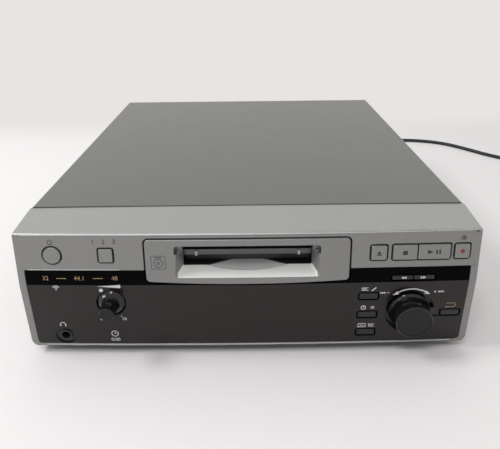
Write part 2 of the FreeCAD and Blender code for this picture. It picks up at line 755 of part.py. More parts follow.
def rear_panel():
    half = CASE_HALF - SHEET - 0.1
    y0 = REAR_Y - SHEET
    low = FLOOR_Z + 0.1
    high = HEIGHT - SHEET - 0.1
    corners = [V(-half, y0 - 9, low), V(half, y0 - 9, low), V(half, y0 - 9, high), V(-half, y0 - 9, high)]
    blank = Part.Face(rounded_wire(corners, [0, 0, COVER_CORNER, COVER_CORNER])).extrude(V(0, SHEET + 9, 0))
    sheet = blank.common(box(-half, half, y0, REAR_Y, low, high))
    top = blank.common(box(-half, half, y0 - 9, REAR_Y, high - SHEET, high))
    holes = [rod_y(RELIEF_X, RELIEF_Z, 4.6, y0 - 1, REAR_Y + 1)]
    for x, z in line_jacks():
        holes.append(rod_y(x, z, 6.2, y0 - 1, REAR_Y + 1))
    for x in optical_places():
        holes.append(front_prism(x, 33.0, 10.4, 10.4, 0.5, y0 - 1, REAR_Y + 1))
    for i in range(9):
        holes.append(box(20.0 + i * 6, 23.0 + i * 6, y0 - 1, REAR_Y + 1, 55.0, 85.0))
    return cut(joined([sheet, top]), holes)


def foot_places():
    spots = []
    for x in (-CASE_HALF + FOOT_INSET, CASE_HALF - FOOT_INSET):
        for y in (COVER_Y + FOOT_INSET, REAR_Y - FOOT_INSET):
            spots.append((x, y))
    return spots


def foot_shells():
    group = []
    for x, y in foot_places():
        r = FOOT_RADIUS
        points = [V(x, y, PAD_THICK - 0.7), V(x + r - 3, y, PAD_THICK - 0.7), V(x + r - 2, y, PAD_THICK + 0.5),
                  V(x + r, y, FOOT_HEIGHT), V(x, y, FOOT_HEIGHT)]
        cone = Part.Face(Part.makePolygon(points + [points[0]])).revolve(V(x, y, 0), V(0, 0, 1), 360)
        pocket = rod_z(x, y, r - 5, 0, PAD_THICK)
        group.append(cone.cut(pocket))
    return Part.makeCompound(group)


def foot_pads():
    group = []
    for x, y in foot_places():
        group.append(rod_z(x, y, FOOT_RADIUS - 5, 0, PAD_THICK))
    return Part.makeCompound(group)


# Rear sockets

def line_jacks():
    return [(x, z) for x in (-132.0, -114.0) for z in (28.0, 44.0)]


def optical_places():
    return -86.0, -68.0


def line_jack_block():
    y0 = REAR_Y - SHEET
    body = box(-141.0, -105.0, y0 - 11, y0, FLOOR_Z + POST_HEIGHT + BOARD_THICK, 53.0)
    wells = []
    for x, z in line_jacks():
        wells.append(rod_y(x, z, 4.15, y0 - 7, y0 + 1))
    return cut(body, wells)


def line_jack_rings():
    """Coloured insulating rings, one round each socket."""
    group = []
    for x, z in line_jacks():
        ring = rod_y(x, z, 6.0, REAR_Y - SHEET, REAR_Y + 1.2)
        group.append(ring.cut(rod_y(x, z, 4.15, REAR_Y - 3, REAR_Y + 3)))
    return Part.makeCompound(group)


def line_jack_shells():
    group = []
    for x, z in line_jacks():
        tube = rod_y(x, z, 4.15, REAR_Y - SHEET - 7, REAR_Y + JACK_PROUD)
        tube = tube.cut(rod_y(x, z, 3.5, REAR_Y + 1.2, REAR_Y + JACK_PROUD + 1))
        group.append(tube.cut(rod_y(x, z, 1.6, REAR_Y - 5, REAR_Y + JACK_PROUD)))
    return Part.makeCompound(group)


def optical_sockets():
    group = []
    for x in optical_places():
        body = front_prism(x, 33.0, 10.0, 10.0, 0.4, REAR_Y - SHEET - 12, REAR_Y + 1.5)
        base = box(x - 5, x + 5, REAR_Y - SHEET - 12, REAR_Y - SHEET - 2, FLOOR_Z + POST_HEIGHT + BOARD_THICK, 30)
        recess = front_prism(x, 33.0, 7.4, 7.4, 0.3, REAR_Y - 0.5, REAR_Y + 2)
        group.append(joined([body, base]).cut(recess))
    return Part.makeCompound(group)


# Boards and power

def rounded_box_z(x0, x1, y0, y1, z0, z1, r):
    points = [V(x0, y0, z0), V(x1, y0, z0), V(x1, y1, z0), V(x0, y1, z0)]
    return Part.Face(rounded_wire(points, r)).extrude(V(0, 0, z1 - z0))


def board_z():
    return FLOOR_Z + POST_HEIGHT


def main_board():
    x0, x1, y0, y1 = main_board_span()
    z = board_z()
    board = rounded_box_z(x0, -60.0, y0, y1, z, z + BOARD_THICK, 2)
    chips = []
    for inset, cy, w, d in ((31, -60, 22, 22), (66, -20, 16, 16), (26, 10, 18, 12), (61, 60, 12, 20)):
        cx = x0 + inset
        chips.append(box(cx - w / 2, cx + w / 2, cy - d / 2, cy + d / 2, z + BOARD_THICK, z + BOARD_THICK + 2.5))
    for i in range(4):
        chips.append(rod_z(x0 + 12 + i * 14, 90, 4, z + BOARD_THICK, z + BOARD_THICK + 11))
    return joined([board] + chips)


def power_board():
    x0, x1, y0, y1 = power_board_span()
    z = board_z()
    board = rounded_box_z(x0, x1, y0, y1, z, z + BOARD_THICK, 2)
    parts = [board]
    for cx, cy, r, h in ((x0 + 14, y0 + 20, 8, 25), (x0 + 34, y0 + 20, 8, 25), (x0 + 14, y0 + 42, 5, 14)):
        parts.append(rod_z(cx, cy, r, z + BOARD_THICK, z + BOARD_THICK + h))
    return joined(parts)


def heat_sink():
    x0, x1, y0, y1 = power_board_span()
    z = board_z() + BOARD_THICK
    x = x1 - 16
    web = box(x - 1.5, x + 1.5, y0 + 10, y0 + 60, z, z + 38)
    fins = [web]
    for i in range(8):
        y = y0 + 10 + i * 6.86
        fins.append(box(x - 1.5, x + 12, y, y + 2.0, z, z + 38))
    return joined(fins)


def transformer():
    cx = 112.0
    cy = COVER_Y + 62.0
    z = FLOOR_Z
    core = box(cx - 30, cx + 30, cy - 12, cy + 12, z, z + 50)
    windows = []
    for side in (-1, 1):
        windows.append(box(cx + side * 15 - 5, cx + side * 15 + 5, cy - 13, cy + 13, z + 10, z + 40))
    core = cut(core, windows)
    winding = rounded_box_z(cx - 19.5, cx + 19.5, cy - 22, cy + 22, z + 10.5, z + 39.5, 7)
    winding = winding.cut(box(cx - 10.2, cx + 10.2, cy - 12.2, cy + 12.2, z, z + 60))
    foot = box(cx - 40, cx + 40, cy - 12, cy + 12, z, z + 1.2).cut(box(cx - 30, cx + 30, cy - 13, cy + 13, 0, z + 5))
    return Part.makeCompound([core.fuse(foot).removeSplitter(), winding])


def ribbon_cable():
    """Flat cable from the main board up to the back of the front board."""
    t = 0.6
    z = board_z() + BOARD_THICK
    y0 = BOARD_Y + BOARD_THICK
    y1 = main_board_span()[2] + 6
    outer = [V(0, y0, 30), V(0, y0 + 8, 30), V(0, y0 + 14, z + 3), V(0, y1, z + 3), V(0, y1, z),
             V(0, y1 - t, z), V(0, y1 - t, z + 3 - t), V(0, y0 + 14 - t, z + 3 - t), V(0, y0 + 8 - t, 30 - t),
             V(0, y0, 30 - t)]
    strip = Part.Face(Part.makePolygon(outer + [outer[0]])).extrude(V(RIBBON_WIDTH, 0, 0))
    strip.translate(V(RIBBON_X, 0, 0))
    return strip


# Loading mechanism

def cartridge_holder():
    """Sheet channel that carries the cartridge down on to the turntable."""
    t = HOLDER_SHEET
    inner = HOLDER_HALF
    y0 = HOLDER_Y
    y1 = HOLDER_Y + HOLDER_DEPTH
    roof = box(-inner - t, inner + t, y0, y1, ENTRY_TOP, ENTRY_TOP + t)
    window = box(-8, 8, SPINDLE_AT + 6, y1 + 1, ENTRY_TOP - 1, ENTRY_TOP + 2)
    pieces = [cut(roof, [window])]
    for side in (-1, 1):
        wall = side * (inner + t / 2)
        pieces.append(box(wall - t / 2, wall + t / 2, y0, y1, CARD_Z - t, ENTRY_TOP + t))
        ledge = side * (inner - 1.5)
        pieces.append(box(ledge - 2.3, ledge + 2.3, y0, y1, CARD_Z - t, CARD_Z))
        reach = DECK_HALF + 3.0 if side > 0 else DECK_HALF + 0.6
        for y in cam_pins():
            pieces.append(rod_x(y, pin_z(), CAM_PIN, min(side * inner, side * reach), max(side * inner, side * reach)))
    shell = joined(pieces)
    path = box(-inner, inner, y0 - 1, y1 + 1, CARD_Z, ENTRY_TOP)
    return shell.cut(path)


def cam_pins():
    return HOLDER_Y + 14.0, HOLDER_Y + 54.0


def pin_z():
    return CARD_Z + CARD_THICK / 2


def slot_cutter(ya, za, yb, zb, radius, x0, x1):
    """Round-ended slot between two centres, run along the width."""
    start = V(x0, ya, za)
    end = V(x0, yb, zb)
    ahead = (end - start).normalize()
    side = V(0, -ahead.z, ahead.y) * radius
    edges = [Part.LineSegment(start + side, end + side).toShape(),
             Part.Arc(end + side, end + ahead * radius, end - side).toShape(),
             Part.LineSegment(end - side, start - side).toShape(),
             Part.Arc(start - side, start - ahead * radius, start + side).toShape()]
    return Part.Face(Part.Wire(edges)).extrude(V(x1 - x0, 0, 0))


def deck_span():
    return ENTRY_END + 0.4, SPINDLE_AT + DISC_INNER + SLED_TRAVEL + 46.0


def mechanism_chassis():
    y0, y1 = deck_span()
    t = DECK_SHEET
    half = DECK_HALF
    plate = box(-half, half, y0, y1, DECK_Z, DECK_TOP)
    pieces = [plate]
    for x, y in damper_places():
        pieces.append(box(min(x, x * 0.8) - 6, max(x, x * 0.8) + 6, y - 6, y + 6, DECK_Z, DECK_TOP))
    gx, gy = gear_place()
    pieces.append(box(half - 2, gx + 8, gy - 9, gy + 9, DECK_Z, DECK_TOP))
    for x in (-ROD_X, ROD_X):
        for y in rod_span():
            pieces.append(box(x - 4, x + 4, y - 1, y + 1, ROD_Z - 4, DECK_Z + 0.5))
    sled = V(SCREW_PITCH_X, screw_span()[0], ROD_Z)
    pieces.append(box(sled.x - 3, sled.x + 3, sled.y - 1.0, sled.y + 1.0, ROD_Z - 4, DECK_Z + 0.5))
    solid = joined(pieces)
    tools = [rod_z(0, SPINDLE_AT, 4.6, DECK_Z - 2, DECK_TOP + 2)]
    tools.append(box(-10, 10, SPINDLE_AT + 6, carriage_y() + SLED_TRAVEL + 37, DECK_Z - 1, DECK_TOP + 1))
    tools.append(rod_z(gx, gy, 2.6, DECK_Z - 1, DECK_TOP + 1))
    for x in (-ROD_X, ROD_X):
        tools.append(rod_y(x, ROD_Z, ROD_RADIUS, rod_span()[0] - 2, rod_span()[1] + 2))
    tools.append(rod_y(sled.x, ROD_Z, 1.0 + RUN_CLEAR, sled.y - 3, sled.y + 3))
    return Part.makeCompound([cut(solid, tools), lift_wall(-1), lift_wall(1)])


def lift_wall(side):
    """Upright sheet on the deck whose straight slots keep the holder's pins in line."""
    x0 = min(side * DECK_HALF, side * (DECK_HALF - LIFT_WALL))
    wall = box(x0, x0 + LIFT_WALL, deck_span()[0], cam_pins()[1] + 12, DECK_TOP, ENTRY_TOP + 1)
    slots = []
    for y in cam_pins():
        slots.append(slot_cutter(y, pin_z(), y, pin_z() - HOLDER_DROP, CAM_PIN + CAM_CLEAR,
                                 x0 - 1, x0 + LIFT_WALL + 1))
    return cut(wall, slots)


def rod_span():
    return carriage_y() - 13.0, carriage_y() + SLED_TRAVEL + 40.0


def guide_rods():
    group = []
    for x in (-ROD_X, ROD_X):
        group.append(rod_y(x, ROD_Z, ROD_RADIUS, rod_span()[0] - 1, rod_span()[1] + 1))
    return Part.makeCompound(group)


def damper_places():
    y0, y1 = deck_span()
    return [(x, y) for x in (-54.0, 54.0) for y in (y0 + 10, y1 - 10)]


def mechanism_dampers():
    """Soft waisted feet between the bracket and the mechanism."""
    group = []
    for x, y in damper_places():
        z0 = bracket_top()
        points = [V(x, y, z0), V(x + 4.5, y, z0), V(x + 3.6, y, (z0 + DECK_Z) / 2), V(x + 4.5, y, DECK_Z),
                  V(x, y, DECK_Z)]
        group.append(Part.Face(Part.makePolygon(points + [points[0]])).revolve(V(x, y, 0), V(0, 0, 1), 360))
    return Part.makeCompound(group)


def bracket_top():
    return DECK_Z - 7.0


def mechanism_bracket():
    y0, y1 = deck_span()
    t = SHEET
    floor_from = COVER_Y + SHEET + 1.0
    pieces = [box(-60, 60, floor_from, y1, FLOOR_Z, FLOOR_Z + t)]
    for side in (-1, 1):
        x = side * 59.5
        pieces.append(box(x - 0.5, x + 0.5, floor_from, y1, FLOOR_Z, bracket_top()))
        pieces.append(box(x - 0.5, x + 0.5, y0, y1, bracket_top() - 12, bracket_top()))
        shelf = (side * 48, side * 60)
        pieces.append(box(min(shelf), max(shelf), y0, y1, bracket_top() - t, bracket_top()))
    solid = joined(pieces)
    gx, gy = gear_place()
    tools = [box(gx - 9, gx + 9, gy - 9, gy + 9, bracket_top() - 16, DECK_Z)]
    for side in (-1, 1):
        x = side * 59.5
        tools.append(box(x - 2, x + 2, floor_from + 14, y1 - 14, FLOOR_Z + 10, bracket_top() - 16))
    tools.append(box(-40, 40, floor_from + 12, y1 - 12, FLOOR_Z - 1, FLOOR_Z + 2))
    return cut(solid, tools)


def loading_slider():
    """Side plate whose slanting slots lower the holder, with a rack along its flange."""
    x0 = DECK_HALF + 0.3
    t = HOLDER_SHEET + 0.4
    y0 = ENTRY_END + 1.0
    y1 = cam_pins()[1] + 16
    z0 = DECK_TOP + 1.0
    plate = box(x0, x0 + t, y0, y1, z0, ENTRY_TOP)
    flange = box(x0, x0 + 4.0, cam_pins()[0] + 14, y1, z0, z0 + 2.5)
    gx, gy = gear_place()
    pitch = math.pi * GEAR_MODULE
    teeth = []
    for i in range(9):
        y = gy + (i - 5.5) * pitch
        points = [V(x0 + 3.8, y - 0.32 * pitch, z0), V(x0 + 4.0 + 1.6, y - 0.13 * pitch, z0),
                  V(x0 + 4.0 + 1.6, y + 0.13 * pitch, z0), V(x0 + 3.8, y + 0.32 * pitch, z0)]
        teeth.append(Part.Face(Part.makePolygon(points + [points[0]])).extrude(V(0, 0, 2.5)))
    solid = joined([plate, flange] + teeth)
    slots = []
    for y in cam_pins():
        slots.append(slot_cutter(y, pin_z(), y - SLIDER_TRAVEL, pin_z() - HOLDER_DROP, CAM_PIN + CAM_CLEAR,
                                 x0 - 1, x0 + t + 1))
    return cut(solid, slots)


def gear_place():
    pitch_radius = GEAR_MODULE * GEAR_TEETH / 2
    rack_line = DECK_HALF + 0.3 + 4.0 + 0.8
    return rack_line + pitch_radius + GEAR_BACKLASH, cam_pins()[1] - 4.0


def loading_gear():
    gx, gy = gear_place()
    radius = GEAR_MODULE * GEAR_TEETH / 2
    z0 = DECK_TOP + 1.2
    root = radius - 1.0
    disc = rod_z(gx, gy, root, z0, z0 + 2.1)
    pieces = [disc, rod_z(gx, gy, 2.5, z0 - 1.0, z0 + 3.5)]
    step = 2 * math.pi / GEAR_TEETH
    for i in range(GEAR_TEETH):
        a = math.pi + i * step
        points = []
        for r, share in ((root - 0.3, -0.3), (radius + 0.7, -0.13), (radius + 0.7, 0.13), (root - 0.3, 0.3)):
            turn = a + share * step
            points.append(V(gx + r * math.cos(turn), gy + r * math.sin(turn), z0))
        pieces.append(Part.Face(Part.makePolygon(points + [points[0]])).extrude(V(0, 0, 2.1)))
    return joined(pieces).cut(rod_z(gx, gy, 1.0, z0 - 3, z0 + 8))


def loading_motor():
    gx, gy = gear_place()
    case = rod_z(gx, gy, 7.5, DECK_Z - 16, DECK_Z)
    boss = rod_z(gx, gy, 2.5, DECK_Z - 1, DECK_TOP)
    shaft = rod_z(gx, gy, 1.0 - RUN_CLEAR, DECK_Z - 2, DECK_TOP + 4.5)
    return joined([case, boss, shaft])


def spindle_motor():
    case = rod_z(0, SPINDLE_AT, 8.5, DECK_Z - 5, DECK_Z)
    return case.cut(rod_z(0, SPINDLE_AT, 1.0 + RUN_CLEAR, DECK_Z - 4, DECK_Z + 1))


def turntable():
    z0 = CARD_Z - 2.2
    shaft = rod_z(0, SPINDLE_AT, 1.0, DECK_Z - 3.5, z0)
    hub = rod_z(0, SPINDLE_AT, 4.0, DECK_Z + 0.8, z0)
    plate = rod_z(0, SPINDLE_AT, 8.0, z0 - 1.5, z0)
    boss = Part.makeCone(3.5, 2.8, 1.0, V(0, SPINDLE_AT, z0), V(0, 0, 1))
    return joined([shaft, hub, plate, boss])


def carriage_y():
    """Depth of the lens with the pickup at its inner stop."""
    return SPINDLE_AT + DISC_INNER


def optical_pickup():
    y = carriage_y()
    body = box(-18, 18, y - 9, y + 9, ROD_Z - 2.5, ROD_Z + 4.5)
    collar = rod_z(0, y, 6.0, ROD_Z + 4, DECK_Z + 3)
    lens = rod_z(0, y, 3.2, DECK_Z + 2, DECK_Z + 6)
    tail = box(-8, 8, y + 8, y + 33, ROD_Z, ROD_Z + 2.5)
    post = box(-6, 6, y + 29, y + 33, ROD_Z, head_z() + 2.5)
    nut = box(17, SCREW_PITCH_X - 1.5, y - 4, y + 4, ROD_Z - 2, ROD_Z + 3)
    solid = joined([body, collar, lens, tail, post, nut])
    tools = []
    for x in (-ROD_X, ROD_X):
        tools.append(rod_y(x, ROD_Z, ROD_RADIUS + RUN_CLEAR, y - 20, y + 20))
    tools.append(rod_x(head_pivot(), head_z(), 1.0 + RUN_CLEAR, -9, 9))
    tools.append(box(-3.2, 3.2, y + 25, y + 40, head_z() - 3, head_z() + 6))
    return cut(solid, tools)


def head_z():
    return ENTRY_TOP + HOLDER_SHEET + 3.4


def head_pivot():
    return carriage_y() + 31.0


def recording_head_arm():
    y = carriage_y()
    z = head_z()
    pin = rod_x(head_pivot(), z, 1.0, -6, 6)
    knuckle = rod_x(head_pivot(), z, 1.8, -2.8, 2.8)
    arm = box(-2.5, 2.5, y + 2, head_pivot() - 1.0, z - 0.5, z + 0.7)
    head = box(-4, 4, y - 4, y + 3.5, z - 2.0, z + 0.7)
    return joined([pin, knuckle, arm, head])


def screw_span():
    return carriage_y() - 12.0, carriage_y() + SLED_TRAVEL + 14.0


def lead_screw():
    y0, y1 = screw_span()
    core = rod_y(SCREW_PITCH_X, ROD_Z, 1.3, y0 + 1.4, y1)
    ends = rod_y(SCREW_PITCH_X, ROD_Z, 1.0, y0 - 1.2, y1 + 3)
    return joined([core, ends])


def sled_motor():
    y1 = screw_span()[1] + 0.4
    case = rod_y(SCREW_PITCH_X, ROD_Z, 5.2, y1, y1 + 14)
    mount = box(SCREW_PITCH_X - 4, SCREW_PITCH_X + 4, y1 + 2, y1 + 12, ROD_Z, DECK_Z)
    bore = rod_y(SCREW_PITCH_X, ROD_Z, 1.0 + RUN_CLEAR, y1 - 1, y1 + 3.5)
    return joined([case, mount]).cut(bore)


# Mains cord

def cord_strain_relief():
    """Ribbed tapering sleeve where the cord leaves the rear panel."""
    y0 = REAR_Y - SHEET - 3
    rear = REAR_Y + RELIEF_LENGTH
    outline = [(0, y0), (6.0, y0), (6.0, REAR_Y - SHEET), (4.5, REAR_Y - SHEET), (4.5, REAR_Y), (6.5, REAR_Y),
               (6.5, REAR_Y + 3)]
    ribs = 5
    span = (RELIEF_LENGTH - 3) / ribs
    for i in range(ribs):
        y = REAR_Y + 3 + i * span
        r = 5.6 - i * 0.35
        outline += [(r - 0.9, y), (r - 0.9, y + span * 0.35), (r, y + span * 0.5), (r - 0.2, y + span)]
    outline.append((0, rear))
    points = [V(RELIEF_X + r, y, RELIEF_Z) for r, y in outline]
    face = Part.Face(Part.makePolygon(points + [points[0]]))
    return face.revolve(V(RELIEF_X, 0, RELIEF_Z), V(0, 1, 0), 360)


def cord_route():
    """Points of the free stretch from the strain relief to the coil, chosen by hand."""
    lay = CORD_DIAMETER / 2 + 0.1
    back = REAR_Y
    return [V(RELIEF_X, back + RELIEF_LENGTH, RELIEF_Z), V(RELIEF_X, back + 54, RELIEF_Z), V(128, back + 82, 11.5),
            V(147, back + 104, 4.4), V(179, back + 119, lay + 0.1), V(218, back + 127, lay + 0.05),
            V(257, back + 127.5, lay), V(296, back + 122.5, lay + 0.05), V(330, back + 107, lay),
            V(354.5, back + 79.5, lay + 0.05), V(377, back + 50, lay), V(405, back + 27, lay + 0.05),
            V(427, back + 0, lay), V(436, back - 30, lay)]


def tube_path(points):
    """Straight runs joined by tangent arcs as large as the runs allow."""
    edges = []
    here = points[0]
    radii = []
    for i in range(1, len(points) - 1):
        corner = points[i]
        back = points[i - 1] - corner
        ahead = points[i + 1] - corner
        short = min(back.Length, ahead.Length)
        turn = math.pi - back.getAngle(ahead)
        reach = 0.45 * short
        radii.append(reach / math.tan(turn / 2))
        back.normalize()
        ahead.normalize()
        start = corner + back * reach
        stop = corner + ahead * reach
        middle = (back + ahead).normalize()
        centre = corner + middle * (reach / math.cos((math.pi - turn) / 2))
        mid = centre - middle * radii[-1]
        edges.append(Part.LineSegment(here, start).toShape())
        edges.append(Part.Arc(start, mid, stop).toShape())
        here = stop
    edges.append(Part.LineSegment(here, points[-1]).toShape())
    return Part.Wire(edges), radii


def tube(wire, start, ahead, radius):
    ring = Part.Wire([Part.makeCircle(radius, start, ahead)])
    return wire.makePipeShell([ring], True, False)


def power_cord():
    points = cord_route()
    wire, radii = tube_path(points)
    solid = tube(wire, points[0], points[1] - points[0], CORD_DIAMETER / 2)
    expected = math.pi * (CORD_DIAMETER / 2) ** 2 * wire.Length
    print("cord radii", [round(r, 1) for r in radii])
    print("cord length %.1f volume share %.4f" % (wire.Length, solid.Volume / expected))
    return solid


def biarc(start, leave, stop, arrive):
    """Two tangent arcs between two points with given directions."""
    chord = stop - start
    total = leave + arrive
    spread = 2 * (1 - leave.dot(arrive))
    along_chord = chord.dot(total)
    if abs(spread) < 1e-9:
        reach = chord.Length ** 2 / (2 * along_chord)
    else:
        reach = (-along_chord + math.sqrt(along_chord ** 2 + spread * chord.Length ** 2)) / spread
    meet = (start + stop + (leave - arrive) * reach) * 0.5
    return [arc_from(start, leave, meet), arc_from(meet, arrive_dir(start, leave, meet), stop)]


def arrive_dir(start, leave, stop):
    """Direction at the end of the arc that leaves start along a direction."""
    chord = stop - start
    flat = leave.dot(chord) / chord.Length ** 2
    return (chord * (2 * flat) - leave).normalize()


def arc_from(start, leave, stop):
    """Arc that leaves the start along a direction and ends at the stop."""
    chord = stop - start
    half = chord.Length / 2
    angle = leave.getAngle(chord)
    if angle < 1e-6:
        return Part.LineSegment(start, stop).toShape()
    across = (leave - chord * (leave.dot(chord) / chord.Length ** 2)).normalize()
    mid = start + chord * 0.5 + across * (half * math.tan(angle / 2))
    return Part.Arc(start, mid, stop).toShape()


def coil_wire():
    """Piled coil: a spiral in on the table, a climb, and a spiral out on top."""
    pitch = CORD_DIAMETER + COIL_GAP
    half_turns = COIL_LOOPS
    outer = COIL_INNER + half_turns * pitch / 2
    route = cord_route()
    entry = route[-1]
    ahead = (route[-1] - route[-2]).normalize()
    ahead.z = 0
    ahead.normalize()
    side = V(-ahead.y, ahead.x, 0)
    up = V(0, 0, 1)
    edges = []
    lead = entry + ahead * CORD_DIAMETER
    edges.append(Part.LineSegment(entry, lead).toShape())
    here = lead
    heading = ahead
    radius = outer
    for i in range(half_turns):
        centre = here + side * radius
        mid = centre + heading * radius
        stop = here + side * (2 * radius)
        edges.append(Part.Arc(here, mid, stop).toShape())
        here = stop
        heading = heading * -1
        side = side * -1
        radius -= pitch / 2
    climb = pitch
    quarter = here + side * radius + heading * radius + up * (climb / 2)
    rise = climb / (math.pi * radius)
    slant = (side + up * (2 * rise)).normalize()
    edges += biarc(here, heading, quarter, slant)
    top = here + side * (2 * radius) + up * climb
    edges += biarc(quarter, slant, top, heading * -1)
    here = top
    heading = heading * -1
    side = side * -1
    for i in range(half_turns):
        radius += pitch / 2
        centre = here + side * radius
        mid = centre + heading * radius
        stop = here + side * (2 * radius)
        edges.append(Part.Arc(here, mid, stop).toShape())
        here = stop
        heading = heading * -1
        side = side * -1
    tail = here + heading * TAIL_LENGTH
    edges.append(Part.LineSegment(here, tail).toShape())
    return Part.Wire(edges), entry, ahead, tail, heading


def least_gap(wire, spacing):
    """Least clear gap of the coiled tube to itself, measured on points."""
    count = int(wire.Length / spacing)
    points = wire.discretize(count)
    skip = int(3.0 * CORD_DIAMETER / spacing)
    least = FAR
    for i in range(count):
        for j in range(i + skip, count):
            least = min(least, points[i].distanceToPoint(points[j]))
    return least - CORD_DIAMETER


def cord_coil():
    wire, entry, ahead, tail, heading = coil_wire()
    solid = tube(wire, entry, ahead, CORD_DIAMETER / 2)
    expected = math.pi * (CORD_DIAMETER / 2) ** 2 * wire.Length
    print("coil length %.1f volume share %.4f" % (wire.Length, solid.Volume / expected))
    print("coil least gap %.2f" % least_gap(wire, 2.5))
    return solid


def power_plug():
    """Moulded two-pin plug lying at the far end of the cord."""
    wire, entry, ahead, tail, heading = coil_wire()
    sections = []
    high = 2 * tail.z - 0.2
    for distance, wide, tall in ((0.0, 8.0, 8.0), (8.0, 9.0, 9.0), (14.0, PLUG_WIDTH - 2, high - 1),
                                 (PLUG_LENGTH, PLUG_WIDTH, high)):
        centre = tail + heading * distance
        across = V(-heading.y, heading.x, 0)
        points = []
        for u, v in ((-1, -1), (1, -1), (1, 1), (-1, 1)):
            points.append(centre + across * (u * wide / 2) + V(0, 0, v * tall / 2))
        sections.append(rounded_wire(points, 3.4))
    body = Part.makeLoft(sections, True, True)
    pins = [body]
    for u in (-9.5, 9.5):
        start = tail + heading * (PLUG_LENGTH - 1) + V(-heading.y, heading.x, 0) * u
        pins.append(Part.makeCylinder(2.0, 20.0, start, heading))
    return joined(pins)


def build():
    parts = {
        "front_bezel": front_bezel(),
        "display_window": display_window(),
        "slot_panel": slot_panel(),
        "entry_guide": entry_guide(),
        "entry_lip": entry_lip(),
        "entry_tabs": entry_tabs(),
        "slot_flap": slot_flap(),
        "power_button": power_button(),
        "key_switches": key_switches(),
        "level_knob": level_knob(),
        "level_shaft": knob_shaft(LEVEL_X, LEVEL_Z, LEVEL_PROUD - 2.5),
        "rotary_controls": Part.makeCompound([rotary_control(LEVEL_X, LEVEL_Z, 12.0, 6.5),
                                              rotary_control(JOG_X, JOG_Z, 14.0, 6.5)]),
        "jog_dial": jog_dial(),
        "jog_shaft": knob_shaft(JOG_X, JOG_Z, JOG_PROUD - 3.0),
        "phones_jack": phones_jack(),
        "front_board": front_board(),
        "display_tube": display_tube(),
        "top_cover": top_cover(),
        "cover_screws": cover_screws(),
        "chassis_base": chassis_base(),
        "rear_panel": rear_panel(),
        "foot_shells": foot_shells(),
        "foot_pads": foot_pads(),
        "line_jack_block": line_jack_block(),
        "line_jack_rings": line_jack_rings(),
        "line_jack_shells": line_jack_shells(),
        "optical_sockets": optical_sockets(),
        "main_board": main_board(),
        "power_board": power_board(),
        "heat_sink": heat_sink(),
        "transformer": transformer(),
        "ribbon_cable": ribbon_cable(),
        "cartridge_holder": cartridge_holder(),
        "loading_slider": loading_slider(),
        "loading_gear": loading_gear(),
        "loading_motor": loading_motor(),
        "mechanism_chassis": mechanism_chassis(),
        "mechanism_bracket": mechanism_bracket(),
        "mechanism_dampers": mechanism_dampers(),
        "guide_rods": guide_rods(),
        "mechanism_motors": Part.makeCompound([spindle_motor(), sled_motor()]),
        "turntable": turntable(),
        "optical_pickup": optical_pickup(),
        "recording_head_arm": recording_head_arm(),
        "lead_screw": lead_screw(),
        "cord_strain_relief": cord_strain_relief(),
        "power_cord": power_cord(),
        "cord_coil": cord_coil(),
        "power_plug": power_plug(),
    }
    for name, size in list(upper_keys().items()) + list(lower_keys().items()):
        parts[name] = key_cap(*size)
    return parts


def export(parts):
    os.makedirs("parts", exist_ok=True)
    for name, shape in parts.items():
        shape.exportStep("parts/%s.step" % name)


export(build())
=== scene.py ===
import bpy
import math
from mathutils import Matrix, Vector


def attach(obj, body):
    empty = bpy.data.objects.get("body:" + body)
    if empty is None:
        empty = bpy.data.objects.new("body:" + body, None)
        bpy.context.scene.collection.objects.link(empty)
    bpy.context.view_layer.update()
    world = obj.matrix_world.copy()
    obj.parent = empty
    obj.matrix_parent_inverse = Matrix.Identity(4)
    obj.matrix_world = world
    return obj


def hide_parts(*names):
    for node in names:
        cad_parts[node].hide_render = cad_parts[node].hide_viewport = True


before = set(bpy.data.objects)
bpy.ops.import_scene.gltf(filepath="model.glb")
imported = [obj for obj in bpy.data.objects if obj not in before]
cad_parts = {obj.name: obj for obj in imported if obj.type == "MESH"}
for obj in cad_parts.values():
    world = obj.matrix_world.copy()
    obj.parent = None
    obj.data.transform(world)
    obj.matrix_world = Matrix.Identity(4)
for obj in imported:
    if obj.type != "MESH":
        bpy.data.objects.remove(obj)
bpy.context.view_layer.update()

MM = 0.001

# Sizes of the deck that the marks and finishes are placed by, in millimetres
FACE_Y = -179.153
BOW_RADIUS = 5446.25
CREST_Z = 62.0
SLOPE = math.tan(math.radians(6.3))
REAR_Y = 177.847
WINDOW_DEPTH = 0.4
PLATE_DEPTH = -0.6
CAP_DEPTH = -0.7
JOG_X = 119.3
JOG_Z = 35.4
LEVEL_X = -100.2
LEVEL_Z = 46.4
MARK_THICK = 0.06
MARK_PROUD = 0.03
CREASE_Z = 101.0
BEZEL_HALF = 162.0
WINDOW_TOP_RIM = 74.5
WINDOW_LOW_RIM = 8.1
SLOT_HALF = 50.0
SLOT_FLOOR = 62.0
SLOT_TOP = 88.0


def front_y(x, z):
    """Depth of the bowed front at a place on it."""
    return FACE_Y + x * x / (2 * BOW_RADIUS) + max(0.0, z - CREST_Z) * SLOPE


# Camera, at the photograph's viewing angle: lens in millimetres, place in metres, turns in degrees

SENSOR_WIDTH = 36.0
LENS = 33.84
FRAME_SHIFT = -0.119
CAMERA_PLACE = (0.0025, -0.4596, 0.2679)
CAMERA_DIP = 21.98
CAMERA_ROLL = -0.64


def place_camera():
    data = bpy.data.cameras.new("deck_view")
    data.sensor_width = SENSOR_WIDTH
    data.lens = LENS
    data.shift_y = FRAME_SHIFT
    camera = bpy.data.objects.new("deck_view", data)
    bpy.context.scene.collection.objects.link(camera)
    pitch = math.radians(90.0 - CAMERA_DIP)
    roll = math.radians(CAMERA_ROLL)
    turn = Matrix.Rotation(pitch, 3, "X") @ Matrix.Rotation(roll, 3, "Z")
    camera.location = CAMERA_PLACE
    camera.rotation_euler = turn.to_euler()
    bpy.context.scene.camera = camera


